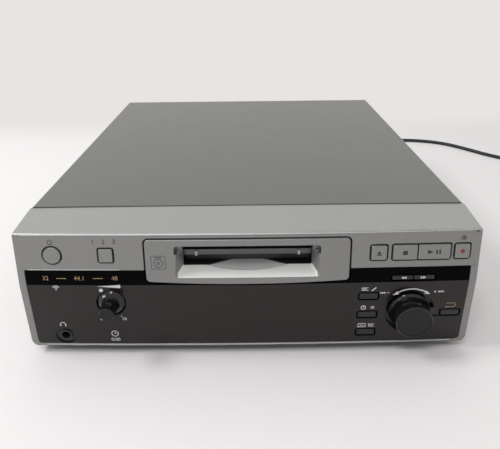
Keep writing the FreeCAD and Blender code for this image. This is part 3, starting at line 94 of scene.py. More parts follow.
place_camera()


# Mains cord, in millimetres

CORD_DIAMETER = 5.0
CORD_EXIT = (118.0, REAR_Y + 25.0, 22.0)
CORD_LAY = 2.6
COIL_PITCH = 5.6
COIL_INNER = 17.0
COIL_HALF_TURNS = 7
CORD_TAIL = 24.0
HALF_TURN_STEPS = 8


def cord_route():
    """Free stretch from the strain relief to the coil."""
    lay = CORD_LAY
    back = REAR_Y
    places = [CORD_EXIT, (118, back + 54, 22), (128, back + 82, 11.5), (147, back + 104, 4.4),
              (179, back + 119, lay + 0.1), (218, back + 127, lay + 0.05), (257, back + 127.5, lay),
              (296, back + 122.5, lay + 0.05), (330, back + 107, lay), (354.5, back + 79.5, lay + 0.05),
              (377, back + 50, lay), (405, back + 27, lay + 0.05), (427, back, lay), (436, back - 30, lay)]
    return [Vector(p) for p in places]


def half_turn(here, heading, side, radius, rise):
    """Points of one half turn that starts at a place along a heading."""
    centre = here + side * radius
    spread = radius / math.cos(math.pi / (2 * HALF_TURN_STEPS))
    points = []
    for step in range(HALF_TURN_STEPS):
        turn = (step + 0.5) * math.pi / HALF_TURN_STEPS
        lift = rise * (1 - math.cos(turn)) / 2
        flat = heading * math.sin(turn) - side * math.cos(turn)
        points.append(centre + flat * spread + Vector((0, 0, lift)))
    return points, here + side * (2 * radius) + Vector((0, 0, rise))


def coil_turns(route):
    """A spiral in on the table, a climb, and a spiral out on top."""
    heading = (route[-1] - route[-2])
    heading.z = 0
    heading.normalize()
    side = Vector((-heading.y, heading.x, 0))
    here = route[-1] + heading * CORD_DIAMETER
    radius = COIL_INNER + COIL_HALF_TURNS * COIL_PITCH / 2
    points = [here.copy()]
    lifts = [0.0] * COIL_HALF_TURNS + [COIL_PITCH] + [0.0] * COIL_HALF_TURNS
    for turn, rise in enumerate(lifts):
        if turn > COIL_HALF_TURNS:
            radius += COIL_PITCH / 2
        made, here = half_turn(here, heading, side, radius, rise)
        points += made
        heading = -heading
        side = -side
        if turn < COIL_HALF_TURNS:
            radius -= COIL_PITCH / 2
    points.append(here.copy())
    points.append(here + heading * CORD_TAIL)
    return points


def lay_cord():
    curve = bpy.data.curves.new("mains_cord", "CURVE")
    curve.dimensions = "3D"
    curve.bevel_depth = 1.0
    curve.bevel_resolution = 4
    curve.resolution_u = 6
    curve.use_fill_caps = True
    route = cord_route()
    points = route + coil_turns(route)
    spline = curve.splines.new("NURBS")
    spline.points.add(len(points) - 1)
    for knot, place in zip(spline.points, points):
        knot.co = (place.x * MM, place.y * MM, place.z * MM, 1.0)
        knot.radius = CORD_DIAMETER / 2 * MM
    spline.order_u = 3
    spline.use_endpoint_u = True
    cord = bpy.data.objects.new("mains_cord", curve)
    bpy.context.scene.collection.objects.link(cord)
    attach(cord, "deck")
    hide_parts("power_cord", "cord_coil")
    return cord


cord = lay_cord()


# Shader groups

DUST_COLOUR = (0.62, 0.6, 0.57, 1.0)
BUMP_DEPTH = 0.0002
EDGE_SAMPLES = 6


def new_group(name, inputs, outputs):
    group = bpy.data.node_groups.new(name, "ShaderNodeTree")
    for title, kind, value in inputs:
        made = group.interface.new_socket(name=title, in_out="INPUT", socket_type=kind)
        made.default_value = value
    for title, kind in outputs:
        group.interface.new_socket(name=title, in_out="OUTPUT", socket_type=kind)
    ins = group.nodes.new("NodeGroupInput")
    outs = group.nodes.new("NodeGroupOutput")
    return group, ins, outs


def maths(tree, operation, first, second, clamp=False):
    node = tree.nodes.new("ShaderNodeMath")
    node.operation = operation
    node.use_clamp = clamp
    for socket, value in ((node.inputs[0], first), (node.inputs[1], second)):
        if isinstance(value, (int, float)):
            socket.default_value = value
        else:
            tree.links.new(value, socket)
    return node.outputs[0]


def span(tree, value, low, high, to_low=0.0, to_high=1.0):
    node = tree.nodes.new("ShaderNodeMapRange")
    for socket, given in zip(node.inputs[:5], (value, low, high, to_low, to_high)):
        if isinstance(given, (int, float)):
            socket.default_value = given
        else:
            tree.links.new(given, socket)
    return node.outputs[0]


def noise(tree, vector, scale, detail=2.0):
    node = tree.nodes.new("ShaderNodeTexNoise")
    node.inputs["Detail"].default_value = detail
    tree.links.new(vector, node.inputs["Vector"])
    if isinstance(scale, (int, float)):
        node.inputs["Scale"].default_value = scale
    else:
        tree.links.new(scale, node.inputs["Scale"])
    return node.outputs["Fac"]


def blended(tree, share, first, second):
    node = tree.nodes.new("ShaderNodeMix")
    node.data_type = "RGBA"
    for socket, value in ((node.inputs[0], share), (node.inputs[6], first), (node.inputs[7], second)):
        if isinstance(value, (int, float, tuple)):
            socket.default_value = value
        else:
            tree.links.new(value, socket)
    return node.outputs[2]


def finish_group():
    """Grain, cloudy tone, handling marks and settled dust for any finish."""
    group, ins, outs = new_group(
        "finish_wear",
        [("Colour", "NodeSocketColor", (0.5, 0.5, 0.5, 1.0)), ("Roughness", "NodeSocketFloat", 0.4),
         ("Grain Scale", "NodeSocketFloat", 900.0), ("Grain", "NodeSocketFloat", 0.1),
         ("Cloud", "NodeSocketFloat", 0.06), ("Smudge", "NodeSocketFloat", 0.05),
         ("Dust", "NodeSocketFloat", 0.05)],
        [("Colour", "NodeSocketColor"), ("Roughness", "NodeSocketFloat"), ("Height", "NodeSocketFloat")])
    place = group.nodes.new("ShaderNodeTexCoord").outputs["Object"]
    fine = noise(group, place, ins.outputs["Grain Scale"], 3.0)
    cloud = noise(group, place, 14.0, 3.0)
    smear = noise(group, place, 55.0, 5.0)
    centred = maths(group, "SUBTRACT", fine, 0.5)
    tone = maths(group, "MULTIPLY", centred, ins.outputs["Grain"])
    drift = maths(group, "MULTIPLY", maths(group, "SUBTRACT", cloud, 0.5), ins.outputs["Cloud"])
    lift = maths(group, "ADD", maths(group, "ADD", tone, drift), 1.0)
    scaled = group.nodes.new("ShaderNodeVectorMath")
    scaled.operation = "SCALE"
    group.links.new(ins.outputs["Colour"], scaled.inputs[0])
    group.links.new(lift, scaled.inputs["Scale"])
    normal = group.nodes.new("ShaderNodeNewGeometry").outputs["Normal"]
    upward = group.nodes.new("ShaderNodeSeparateXYZ")
    group.links.new(normal, upward.inputs[0])
    facing = span(group, upward.outputs["Z"], 0.3, 1.0)
    specks = span(group, noise(group, place, 420.0, 4.0), 0.56, 0.74)
    film = maths(group, "MULTIPLY", maths(group, "MULTIPLY", facing, specks), ins.outputs["Dust"])
    dusted = blended(group, film, scaled.outputs[0], DUST_COLOUR)
    rub = maths(group, "MULTIPLY", span(group, smear, 0.5, 0.75), ins.outputs["Smudge"])
    rough = maths(group, "ADD", ins.outputs["Roughness"], maths(group, "ADD", rub, film), True)
    group.links.new(dusted, outs.inputs["Colour"])
    group.links.new(rough, outs.inputs["Roughness"])
    group.links.new(fine, outs.inputs["Height"])
    return group


FINISH = finish_group()


def material(name, colour, roughness, metallic=0.0, specular=0.5, grain=0.1, scale=900.0,
             bump=0.02, cloud=0.06, smudge=0.05, dust=0.05, edge=0.0):
    """Principled finish with the shared wear group in front of it; edge is the radius of softened edges."""
    made = bpy.data.materials.new(name)
    made.use_nodes = True
    tree = made.node_tree
    shader = tree.nodes["Principled BSDF"]
    shader.inputs["Metallic"].default_value = metallic
    shader.inputs["Specular IOR Level"].default_value = specular
    wear = tree.nodes.new("ShaderNodeGroup")
    wear.node_tree = FINISH
    wear.name = "wear"
    wear.inputs["Colour"].default_value = (*colour, 1.0)
    for title, value in (("Roughness", roughness), ("Grain Scale", scale), ("Grain", grain), ("Cloud", cloud),
                         ("Smudge", smudge), ("Dust", dust)):
        wear.inputs[title].default_value = value
    tree.links.new(wear.outputs["Colour"], shader.inputs["Base Color"])
    tree.links.new(wear.outputs["Roughness"], shader.inputs["Roughness"])
    ridge = tree.nodes.new("ShaderNodeBump")
    ridge.inputs["Strength"].default_value = bump
    ridge.inputs["Distance"].default_value = BUMP_DEPTH
    tree.links.new(wear.outputs["Height"], ridge.inputs["Height"])
    if edge > 0:
        soft = tree.nodes.new("ShaderNodeBevel")
        soft.samples = EDGE_SAMPLES
        soft.inputs["Radius"].default_value = edge * MM
        tree.links.new(soft.outputs["Normal"], ridge.inputs["Normal"])
    tree.links.new(ridge.outputs["Normal"], shader.inputs["Normal"])
    return made


MATERIALS = {
    "silver_paint": material("silver_paint", (0.262, 0.262, 0.256), 0.34, metallic=0.55, grain=0.2,
                             scale=1500.0, bump=0.05, edge=1.1),
    # Painted light: lighter copy of the silver paint for the bezel's upward-facing top strip, which catches
    # more light than the front
    "silver_top_lit": material("silver_top_lit", (0.37, 0.37, 0.365), 0.34, metallic=0.5, grain=0.2, scale=1500.0,
                            bump=0.05, edge=1.1),
    # Painted highlight: light paint for the bright bars along the crease and the window edges, standing in
    # for edges that catch the light
    "painted_highlight_paint": material("painted_highlight_paint", (0.72, 0.72, 0.72), 0.3, metallic=0.3, grain=0.1, bump=0.02),
    "plate_paint": material("plate_paint", (0.255, 0.255, 0.251), 0.34, metallic=0.5, grain=0.2, scale=1500.0,
                            bump=0.05, edge=0.5),
    # Painted light: near-white copy of the plate paint for the upward-facing scoop and floor of the slot,
    # standing in for the light they catch
    "scoop_lit_paint": material("scoop_lit_paint", (0.86, 0.86, 0.85), 0.42, metallic=0.1, grain=0.2, scale=1500.0,
                            bump=0.08, edge=0.4),
    "cap_paint": material("cap_paint", (0.262, 0.262, 0.255), 0.32, metallic=0.5, grain=0.16, scale=1500.0),
    "smoked_window": material("smoked_window", (0.013, 0.009, 0.0085), 0.16, specular=0.36, grain=0.3,
                              scale=60.0, bump=0.0, smudge=0.12, dust=0.0),
    # Painted reflection: near-black copy of the smoked window with almost no gloss, standing in for the dark
    # reflection of the leaning band
    "window_dark_reflection": material("window_dark_reflection", (0.0015, 0.0015, 0.0015), 0.2, specular=0.03, grain=0.1, bump=0.0,
                           dust=0.0),
    "black_plastic": material("black_plastic", (0.012, 0.012, 0.013), 0.45, scale=1200.0, bump=0.08),
    "guide_plastic": material("guide_plastic", (0.008, 0.008, 0.008), 0.45, scale=1200.0, bump=0.08),
    "black_gloss": material("black_gloss", (0.006, 0.006, 0.007), 0.14, specular=0.5, bump=0.0, dust=0.02),
    "knob_cap": material("knob_cap", (0.010, 0.010, 0.010), 0.5, specular=0.3, scale=2200.0, bump=0.15),
    "white_plastic": material("white_plastic", (0.62, 0.61, 0.58), 0.4),
    "lip_steel": material("lip_steel", (0.13, 0.13, 0.13), 0.4, metallic=0.6),
    "cover_paint": material("cover_paint", (0.125, 0.124, 0.119), 0.3, specular=0.6, metallic=0.1, grain=0.16,
                            scale=2200.0, bump=0.10, cloud=0.05, dust=0.05, edge=0.5),
    "sheet_steel": material("sheet_steel", (0.48, 0.48, 0.47), 0.34, metallic=1.0, scale=500.0, cloud=0.2),
    "rear_steel": material("rear_steel", (0.30, 0.30, 0.30), 0.38, metallic=0.6, scale=900.0, cloud=0.1),
    "turned_steel": material("turned_steel", (0.55, 0.55, 0.55), 0.22, metallic=1.0),
    "plated_shell": material("plated_shell", (0.62, 0.60, 0.56), 0.2, metallic=1.0),
    "circuit_board": material("circuit_board", (0.05, 0.16, 0.06), 0.4, scale=300.0, grain=0.3),
    "tube_glass": material("tube_glass", (0.02, 0.025, 0.025), 0.08),
    "black_rubber": material("black_rubber", (0.014, 0.014, 0.014), 0.75, scale=1500.0, bump=0.2),
    "cord_rubber": material("cord_rubber", (0.012, 0.012, 0.012), 0.5, scale=1500.0, bump=0.1, cloud=0.2),
    "iron_core": material("iron_core", (0.10, 0.095, 0.09), 0.5, metallic=0.8),
    "fin_aluminium": material("fin_aluminium", (0.5, 0.5, 0.5), 0.4, metallic=1.0),
    "red_plastic": material("red_plastic", (0.45, 0.03, 0.02), 0.4),
    "white_ink": material("white_ink", (0.82, 0.82, 0.81), 0.5, grain=0.05, bump=0.0),
    "dark_ink": material("dark_ink", (0.02, 0.02, 0.02), 0.5, grain=0.05, bump=0.0),
    "gold_ink": material("gold_ink", (0.40, 0.27, 0.14), 0.45, grain=0.05, bump=0.0),
    "red_ink": material("red_ink", (0.26, 0.03, 0.025), 0.5, grain=0.05, bump=0.0),
    "brown_board": material("brown_board", (0.16, 0.10, 0.05), 0.5, scale=300.0, grain=0.3),
    "grey_ribbon": material("grey_ribbon", (0.36, 0.36, 0.36), 0.5, scale=400.0),
}

NODE_FINISH = {
    "silver_paint": ["front_bezel"],
    "plate_paint": ["slot_panel"],
    "cap_paint": ["power_button", "input_button", "eject_button", "stop_button", "play_button",
                  "record_button"],
    "smoked_window": ["display_window"],
    "guide_plastic": ["entry_guide"],
    "lip_steel": ["entry_lip"],
    "white_plastic": ["entry_tabs", "loading_gear"],
    "black_plastic": ["slot_flap", "key_switches", "rotary_controls", "phones_jack", "line_jack_block",
                      "optical_sockets", "foot_shells"],
    "black_gloss": ["rewind_key", "forward_key", "name_key", "timer_key", "display_key", "enter_key",
                    "level_knob", "jog_dial"],
    "turned_steel": ["level_shaft", "jog_shaft", "cover_screws", "guide_rods", "lead_screw", "turntable",
                     "loading_motor", "mechanism_motors"],
    "brown_board": ["front_board"],
    "circuit_board": ["main_board", "power_board"],
    "tube_glass": ["display_tube"],
    "cover_paint": ["top_cover"],
    "sheet_steel": ["chassis_base", "cartridge_holder", "loading_slider", "mechanism_chassis",
                    "mechanism_bracket", "recording_head_arm", "optical_pickup"],
    "rear_steel": ["rear_panel"],
    "black_rubber": ["foot_pads", "mechanism_dampers", "cord_strain_relief"],
    "red_plastic": ["line_jack_rings"],
    "plated_shell": ["line_jack_shells"],
    "fin_aluminium": ["heat_sink"],
    "iron_core": ["transformer"],
    "grey_ribbon": ["ribbon_cable"],
    "cord_rubber": ["power_cord", "cord_coil", "power_plug"],
}


def dress(piece, finish):
    piece.data.materials.clear()
    piece.data.materials.append(MATERIALS[finish])


def second_finish(piece, finish, test):
    """Another finish on the faces whose middle passes the test."""
    piece.data.materials.append(MATERIALS[finish])
    index = len(piece.data.materials) - 1
    for face in piece.data.polygons:
        if test(face.center / MM, face.normal):
            face.material_index = index


for finish, names in NODE_FINISH.items():
    for name in names:
        dress(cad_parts[name], finish)
dress(cord, "cord_rubber")
# Painted reflection: the leaning band of the window above the crest gets the near-black, almost glossless
# copy
second_finish(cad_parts["display_window"], "window_dark_reflection", lambda c, n: c.z > CREST_Z + 0.05)
# Painted light: the upward-facing top strip of the bezel gets the lighter copy of the silver paint
second_finish(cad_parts["front_bezel"], "silver_top_lit", lambda c, n: n.z > 0.6 and c.z > CREASE_Z)
# Painted light: upward-facing faces inside the slot get the near-white copy of the plate paint
second_finish(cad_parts["slot_panel"], "scoop_lit_paint",
              lambda c, n: n.z > 0.3 and abs(c.x) < SLOT_HALF and SLOT_FLOOR < c.z < SLOT_TOP)


# Rounded edges: reach in metres, angle in degrees, widths in millimetres

WELD_REACH = 0.00001
ROUND_SEGMENTS = 2
ROUND_ANGLE = 38.0


def soften(name, width):
    """Rounds the hard edges of a moulded piece, so that they catch the light."""
    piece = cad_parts[name]
    weld = piece.modifiers.new("weld", "WELD")
    weld.merge_threshold = WELD_REACH
    edge = piece.modifiers.new("edge_round", "BEVEL")
    edge.width = width * MM
    edge.segments = ROUND_SEGMENTS
    edge.limit_method = "ANGLE"
    edge.angle_limit = math.radians(ROUND_ANGLE)
    edge.use_clamp_overlap = True
    edge.harden_normals = True


EDGE_ROUNDS = {
    0.4: ["power_button", "input_button", "eject_button", "stop_button", "play_button", "record_button"],
    0.25: ["rewind_key", "forward_key", "name_key", "timer_key", "display_key", "enter_key"],
}
for width, names in EDGE_ROUNDS.items():
    for name in names:
        soften(name, width)


# Making helpers

def deselect():
    if bpy.context.object and bpy.context.object.mode != "OBJECT":
        bpy.ops.object.mode_set(mode="OBJECT")
    bpy.ops.object.select_all(action="DESELECT")


def settle(piece, name, body, finish):
    """Name, finish, place in the mesh and body of a finished piece."""
    deselect()
    piece.select_set(True)
    bpy.context.view_layer.objects.active = piece
    bpy.ops.object.transform_apply(location=True, rotation=True, scale=True)
    piece.name = name
    piece.data.name = name
    dress(piece, finish)
    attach(piece, body)
    return piece


def join(pieces):
    deselect()
    for piece in pieces:
        piece.select_set(True)
    bpy.context.view_layer.objects.active = pieces[0]
    if len(pieces) > 1:
        bpy.ops.object.join()
    return bpy.context.view_layer.objects.active


# Flat marks, drawn in the plane of the front as width and height in millimetres

FIGURE_SCALE = 1.4


def bar(x, z, width, height, turn=0.0):
    deselect()
    bpy.ops.mesh.primitive_plane_add(size=1.0, location=(x, z, 0), rotation=(0, 0, math.radians(turn)))
    made = bpy.context.object
    made.scale = (width, height, 1.0)
    bpy.ops.object.transform_apply(location=True, rotation=True, scale=True)
    return made


def disc(x, z, radius, sides=32):
    deselect()
    bpy.ops.mesh.primitive_circle_add(vertices=sides, radius=radius, fill_type="NGON", location=(x, z, 0))
    bpy.ops.object.transform_apply(location=True, rotation=True, scale=True)
    return bpy.context.object


def triangle(x, z, width, height, turn=0.0):
    """Triangle that points up, turned about its middle."""
    deselect()
    bpy.ops.mesh.primitive_circle_add(vertices=3, radius=1.0, fill_type="NGON", location=(0, 0, 0))
    made = bpy.context.object
    made.scale = (width / math.sqrt(3.0), height / 1.5, 1.0)
    bpy.ops.object.transform_apply(location=True, rotation=True, scale=True)
    for vertex in made.data.vertices:
        vertex.co.y -= height / 6
    made.rotation_euler.z = math.radians(turn)
    made.location = (x, z, 0)
    bpy.ops.object.transform_apply(location=True, rotation=True, scale=True)
    return made


def ring(x, z, radius, width, start=0.0, stop=360.0, steps=40):
    """Flat band along an arc, angles counted from the right."""
    deselect()
    bpy.ops.mesh.primitive_plane_add(size=1.0, location=(0, 0, 0))
    made = bpy.context.object
    made.data.clear_geometry()
    corners = []
    for i in range(steps + 1):
        a = math.radians(start + (stop - start) * i / steps)
        for r in (radius - width / 2, radius + width / 2):
            corners.append((x + r * math.cos(a), z + r * math.sin(a), 0))
    faces = [(2 * i, 2 * i + 1, 2 * i + 3, 2 * i + 2) for i in range(steps)]
    made.data.from_pydata(corners, [], faces)
    return made


def figures(text, x, z, height):
    """Plain figures centred on a place."""
    deselect()
    bpy.ops.object.text_add(location=(0, 0, 0))
    made = bpy.context.object
    made.data.body = text
    made.data.align_x = "CENTER"
    made.data.align_y = "CENTER"
    made.data.size = height * FIGURE_SCALE
    bpy.ops.object.convert(target="MESH")
    made = bpy.context.object
    made.location = (x, z, 0)
    bpy.ops.object.transform_apply(location=True, rotation=True, scale=True)
    return made


def print_on_front(name, shapes, depth, finish, body="deck"):
    """Gives the flat shapes a thickness and lays them on the bowed front."""
    piece = join(shapes)
    bpy.ops.object.mode_set(mode="EDIT")
    bpy.ops.mesh.select_all(action="SELECT")
    bpy.ops.mesh.remove_doubles(threshold=0.001)
    bpy.ops.mesh.normals_make_consistent(inside=False)
    bpy.ops.mesh.solidify(thickness=MARK_THICK)
    bpy.ops.mesh.select_all(action="SELECT")
    bpy.ops.mesh.normals_make_consistent(inside=False)
    bpy.ops.object.mode_set(mode="OBJECT")
    low = min(v.co.z for v in piece.data.vertices)
    for vertex in piece.data.vertices:
        x, z, lift = vertex.co
        y = front_y(x, z) + depth - (lift - low) + MARK_THICK - MARK_PROUD
        vertex.co = (x * MM, y * MM, z * MM)
    return settle(piece, name, body, finish)


# Marks

def standby_sign(x, z, r):
    return [ring(x, z, r, 0.5, 125.0, 415.0, 30), bar(x, z + r * 0.75, 0.5, r * 1.1)]


def skip_sign(x, z, size, way):
    """Two triangles and a bar; way is 1 for forward and -1 for back."""
    turn = -90.0 * way
    return [triangle(x - way * size * 0.95, z, size, size, turn), triangle(x, z, size, size, turn),
            bar(x + way * size * 0.65, z, size * 0.22, size)]


def wind_sign(x, z, size, way):
    turn = -90.0 * way
    return [triangle(x - size * 0.48, z, size, size, turn), triangle(x + size * 0.48, z, size, size, turn)]


def clock_sign(x, z, r):
    return [ring(x, z, r, 0.5), bar(x, z + r * 0.3, 0.45, r * 0.75), bar(x + r * 0.22, z, r * 0.6, 0.45)]


def headphone_sign(x, z, r):
    return [ring(x, z, r, 0.5, 0.0, 180.0, 20), bar(x - r, z - 0.5, 0.9, 1.6), bar(x + r, z - 0.5, 0.9, 1.6)]


def page_sign(x, z, width):
    """Lines of a list, as on a name or edit key."""
    return [bar(x, z + 1.0, width, 0.45), bar(x - width * 0.12, z, width * 0.76, 0.45),
            bar(x, z - 1.0, width, 0.45)]


def pencil_sign(x, z, length):
    return [bar(x, z, length, 0.8, 45.0), triangle(x - length * 0.43, z - length * 0.43, 0.8, 1.0, 135.0)]


def cross_sign(x, z, size):
    return [bar(x, z, size, 0.5, 45.0), bar(x, z, size, 0.5, -45.0)]


def screen_sign(x, z, width, height):
    edge = 0.45
    return [bar(x, z + height / 2, width, edge), bar(x, z - height / 2, width, edge),
            bar(x - width / 2, z, edge, height), bar(x + width / 2, z, edge, height),
            bar(x, z, width * 0.5, edge)]


def return_sign(x, z, size):
    """Arrow that turns back, as on an entry key."""
    r = size * 0.3
    return [ring(x + size * 0.45, z + r * 0.2, r, 0.5, -90.0, 90.0, 16),
            bar(x, z + r * 1.2, size * 0.95, 0.5),
            bar(x + size * 0.05, z - r * 0.8, size * 0.85, 0.5),
            triangle(x - size * 0.5, z - r * 0.8, 1.7, 1.4, 90.0)]


def cap_marks():
    print_on_front("eject_sign", [triangle(92.9, 86.0, 3.4, 2.4), bar(92.9, 83.9, 3.4, 0.8)], CAP_DEPTH,
                   "dark_ink", "eject_button")
    print_on_front("stop_sign", [bar(111.4, 85.3, 3.3, 3.1)], CAP_DEPTH, "dark_ink",
                   "stop_button")
    print_on_front("play_sign", [triangle(129.4, 85.6, 3.4, 4.2, -90.0), bar(133.8, 85.6, 1.2, 3.3),
                                 bar(136.0, 85.6, 1.2, 3.3)], CAP_DEPTH, "dark_ink",
                   "play_button")
    print_on_front("record_sign", [disc(152.2, 85.6, 1.6)], CAP_DEPTH, "red_ink",
                   "record_button")
    print_on_front("rewind_sign", wind_sign(112.2, 65.2, 1.9, -1), WINDOW_DEPTH, "white_ink",
                   "rewind_key")
    print_on_front("forward_sign", wind_sign(126.3, 65.2, 1.9, 1), WINDOW_DEPTH, "white_ink",
                   "forward_key")


def bezel_marks():
    dark = standby_sign(-138.8, 95.7, 1.7)
    dark += [figures("1", -108.5, 95.9, 3.5), figures("2", -101.0, 95.9, 3.5), figures("3", -93.5, 95.9, 3.5)]
    dark += [disc(152.4, 95.6, 0.9), ring(152.4, 95.6, 1.7, 0.4)]
    print_on_front("bezel_signs", dark, 0.0, "dark_ink")


def plate_marks():
    """Plain cartridge pictogram beside the slot."""
    x, z = -63.1, 80.4
    half = 5.0
    lines = [bar(x, z + half, 2 * half, 0.35), bar(x, z - half, 2 * half, 0.35),
             bar(x - half, z, 0.35, 2 * half), bar(x + half, z, 0.35, 2 * half),
             ring(x, z - 0.6, 3.1, 0.45), ring(x, z - 0.6, 0.9, 0.45), bar(x, z + 3.8, 5.0, 0.6)]
    print_on_front("cartridge_sign", lines, PLATE_DEPTH, "dark_ink")


def window_marks():
    gold = [figures("32", -145.5, 67.4, 3.3), figures("44.1", -121.0, 67.4, 3.3),
            figures("48", -95.5, 67.4, 3.3), bar(-134.0, 67.4, 7.0, 0.5), bar(-107.5, 67.4, 7.0, 0.5)]
    gold += return_sign(149.0, 40.2, 5.6)
    print_on_front("gold_signs", gold, WINDOW_DEPTH, "gold_ink")
    white = [disc(-106.4, 57.5, 1.5), figures("0", -109.2, 31.9, 2.7), figures("10", -92.2, 31.9, 2.7),
             disc(-93.9, 34.4, 0.45)]
    white += [triangle(-100.4, 60.9, 2.8, 17.0, 90.0)]
    white += [disc(-139.0, 58.4, 0.6), ring(-139.0, 58.4, 1.7, 0.5, 35.0, 145.0, 12),
              ring(-139.0, 58.4, 3.0, 0.5, 35.0, 145.0, 14)]
    white += headphone_sign(-139.0, 26.6, 1.9)
    white += clock_sign(-100.7, 18.3, 2.5)
    white += [figures("0:00", -100.7, 12.6, 2.9)]
    white += page_sign(84.8, 56.4, 5.0) + pencil_sign(91.6, 56.4, 3.6)
    white += clock_sign(84.8, 40.0, 1.7) + cross_sign(91.6, 40.0, 3.2)
    white += screen_sign(84.8, 23.8, 5.6, 3.0) + page_sign(91.8, 23.8, 4.4)
    white += skip_sign(97.4, 52.8, 1.8, -1) + [bar(102.0, 52.8, 1.8, 0.45)]
    white += skip_sign(141.4, 52.8, 1.8, 1) + [bar(136.4, 52.8, 1.8, 0.45), bar(136.4, 52.8, 0.45, 1.8)]
    white += [ring(JOG_X, JOG_Z, 20.2, 0.9, 60.0, 120.0, 30), triangle(107.4, 51.6, 3.0, 4.2, 116.0),
              triangle(131.2, 51.6, 3.0, 4.2, -116.0)]
    print_on_front("window_signs", white, WINDOW_DEPTH, "white_ink")
    # Painted shade: a flat matt black patch on the window where the groove to the entry key lies in shade
    print_on_front("key_recess_shade", [bar(137.7, 35.9, 5.2, 5.0)], WINDOW_DEPTH, "black_plastic")


def chip(x, z, width, height, turn):
    """Uneven spot where the paint has gone."""
    deselect()
    bpy.ops.mesh.primitive_circle_add(vertices=7, radius=0.5, fill_type="NGON", location=(0, 0, 0))
    made = bpy.context.object
    for i, vertex in enumerate(made.data.vertices):
        vertex.co *= 0.8 + 0.3 * math.sin(2.4 * i)
    made.scale = (width, height, 1.0)
    made.rotation_euler.z = math.radians(turn)
    bpy.ops.object.transform_apply(location=True, rotation=True, scale=True)
    made.location = (x, z, 0)
    bpy.ops.object.transform_apply(location=True, rotation=True, scale=True)
    return made


# Painted highlights along the crease and the window edges: bar sizes in millimetres
HIGHLIGHT_STEP = 6.0
CREASE_LIFT = 0.15
CREASE_WIDTH = 0.85
CREASE_FADE = 0.7
TOP_RIM_START = -154.0
TOP_RIM_STEPS = 11
TOP_RIM_WIDTH = 0.4
LOW_RIM_START = -150.0
LOW_RIM_STEPS = 51
LOW_RIM_WIDTH = 0.5


def crease_highlight():
    """Painted highlight along the crease, widest at the left and narrowing to the right."""
    count = int(2 * BEZEL_HALF / HIGHLIGHT_STEP)
    lines = []
    for i in range(count):
        x = -BEZEL_HALF + (i + 0.5) * HIGHLIGHT_STEP
        lines.append(bar(x, CREASE_Z + CREASE_LIFT, HIGHLIGHT_STEP, CREASE_WIDTH - CREASE_FADE * i / count))
    print_on_front("crease_highlight", lines, 0.0, "painted_highlight_paint")


def window_edge_highlights():
    """Painted highlights on the edge above the left part of the window and below all of it."""
    rims = [bar(TOP_RIM_START + HIGHLIGHT_STEP * i, WINDOW_TOP_RIM, HIGHLIGHT_STEP, TOP_RIM_WIDTH)
            for i in range(TOP_RIM_STEPS)]
    rims += [bar(LOW_RIM_START + HIGHLIGHT_STEP * i, WINDOW_LOW_RIM, HIGHLIGHT_STEP, LOW_RIM_WIDTH)
             for i in range(LOW_RIM_STEPS)]
    print_on_front("window_edge_highlights", rims, 0.0, "painted_highlight_paint")


WORN_SPOTS = [(161.8, 100.3, 2.6, 1.9, 20.0), (159.6, 100.9, 1.4, 0.7, 0.0), (6.0, 100.9, 0.9, 0.6, 10.0),
              (131.9, 100.9, 0.9, 0.7, 40.0), (51.2, 100.9, 0.7, 0.5, 0.0), (161.9, 74.5, 1.0, 1.4, 15.0),
              (-160.6, 100.7, 1.8, 0.8, 10.0)]


def worn_spots():
    """Paint chips along the crease and the right edge of the bezel."""
    spots = []
    for place in WORN_SPOTS:
        spots.append(chip(*place))
    print_on_front("worn_spots", spots, 0.0, "dark_ink")


cap_marks()
bezel_marks()
plate_marks()
window_marks()
crease_highlight()
window_edge_highlights()
worn_spots()


# Knobs

DOT_RADIUS = 1.25
DOT_FLATNESS = 0.4
DOT_REACH = 7.6
DOT_TURN = 122.0
DOT_PROUD = 0.75
CAP_THICK = 0.5
CAP_SINK = 0.2
CAP_ROUND = 0.15


def knob_dot():
    """White dot on the sloping skirt of the level knob, pointing up and to the left."""
    deselect()
    bpy.ops.mesh.primitive_uv_sphere_add(segments=20, ring_count=10, radius=DOT_RADIUS, location=(0, 0, 0))
    dot = bpy.context.object
    dot.scale = (1.0, DOT_FLATNESS, 1.0)
    turn = math.radians(DOT_TURN)
    x = LEVEL_X + DOT_REACH * math.cos(turn)
    z = LEVEL_Z + DOT_REACH * math.sin(turn)
    dot.location = (x, front_y(LEVEL_X, LEVEL_Z) - DOT_PROUD, z)
    bpy.ops.object.transform_apply(location=True, rotation=True, scale=True)
    dot.scale = (MM, MM, MM)
    dot = settle(dot, "level_dot", "level_knob", "white_ink")
    deselect()
    dot.select_set(True)
    bpy.ops.object.shade_smooth()


def cap_disc(name, x, z, proud, radius, body):
    """Matt black disc set in the end of a knob."""
    deselect()
    y = front_y(x, z) - proud
    bpy.ops.mesh.primitive_cylinder_add(vertices=96, radius=radius * MM, depth=CAP_THICK * MM,
                                        location=(x * MM, (y + CAP_SINK) * MM, z * MM),
                                        rotation=(math.radians(90), 0, 0))
    piece = bpy.context.object
    bpy.ops.object.mode_set(mode="EDIT")
    bpy.ops.mesh.select_all(action="SELECT")
    bpy.ops.mesh.bevel(offset=CAP_ROUND * MM, segments=2, affect="EDGES")
    bpy.ops.object.mode_set(mode="OBJECT")
    return settle(piece, name, body, "knob_cap")


def skirt_ring(name, x, z, depth, radius, width, body, finish):
    """Thin ring round a knob's flange."""
    deselect()
    y = front_y(x, z) + depth
    bpy.ops.mesh.primitive_torus_add(major_radius=radius * MM, minor_radius=width / 2 * MM, major_segments=96,
                                     minor_segments=8, location=(x * MM, y * MM, z * MM),
                                     rotation=(math.radians(90), 0, 0))
    piece = bpy.context.object
    bpy.ops.object.shade_smooth()
    return settle(piece, name, body, finish)


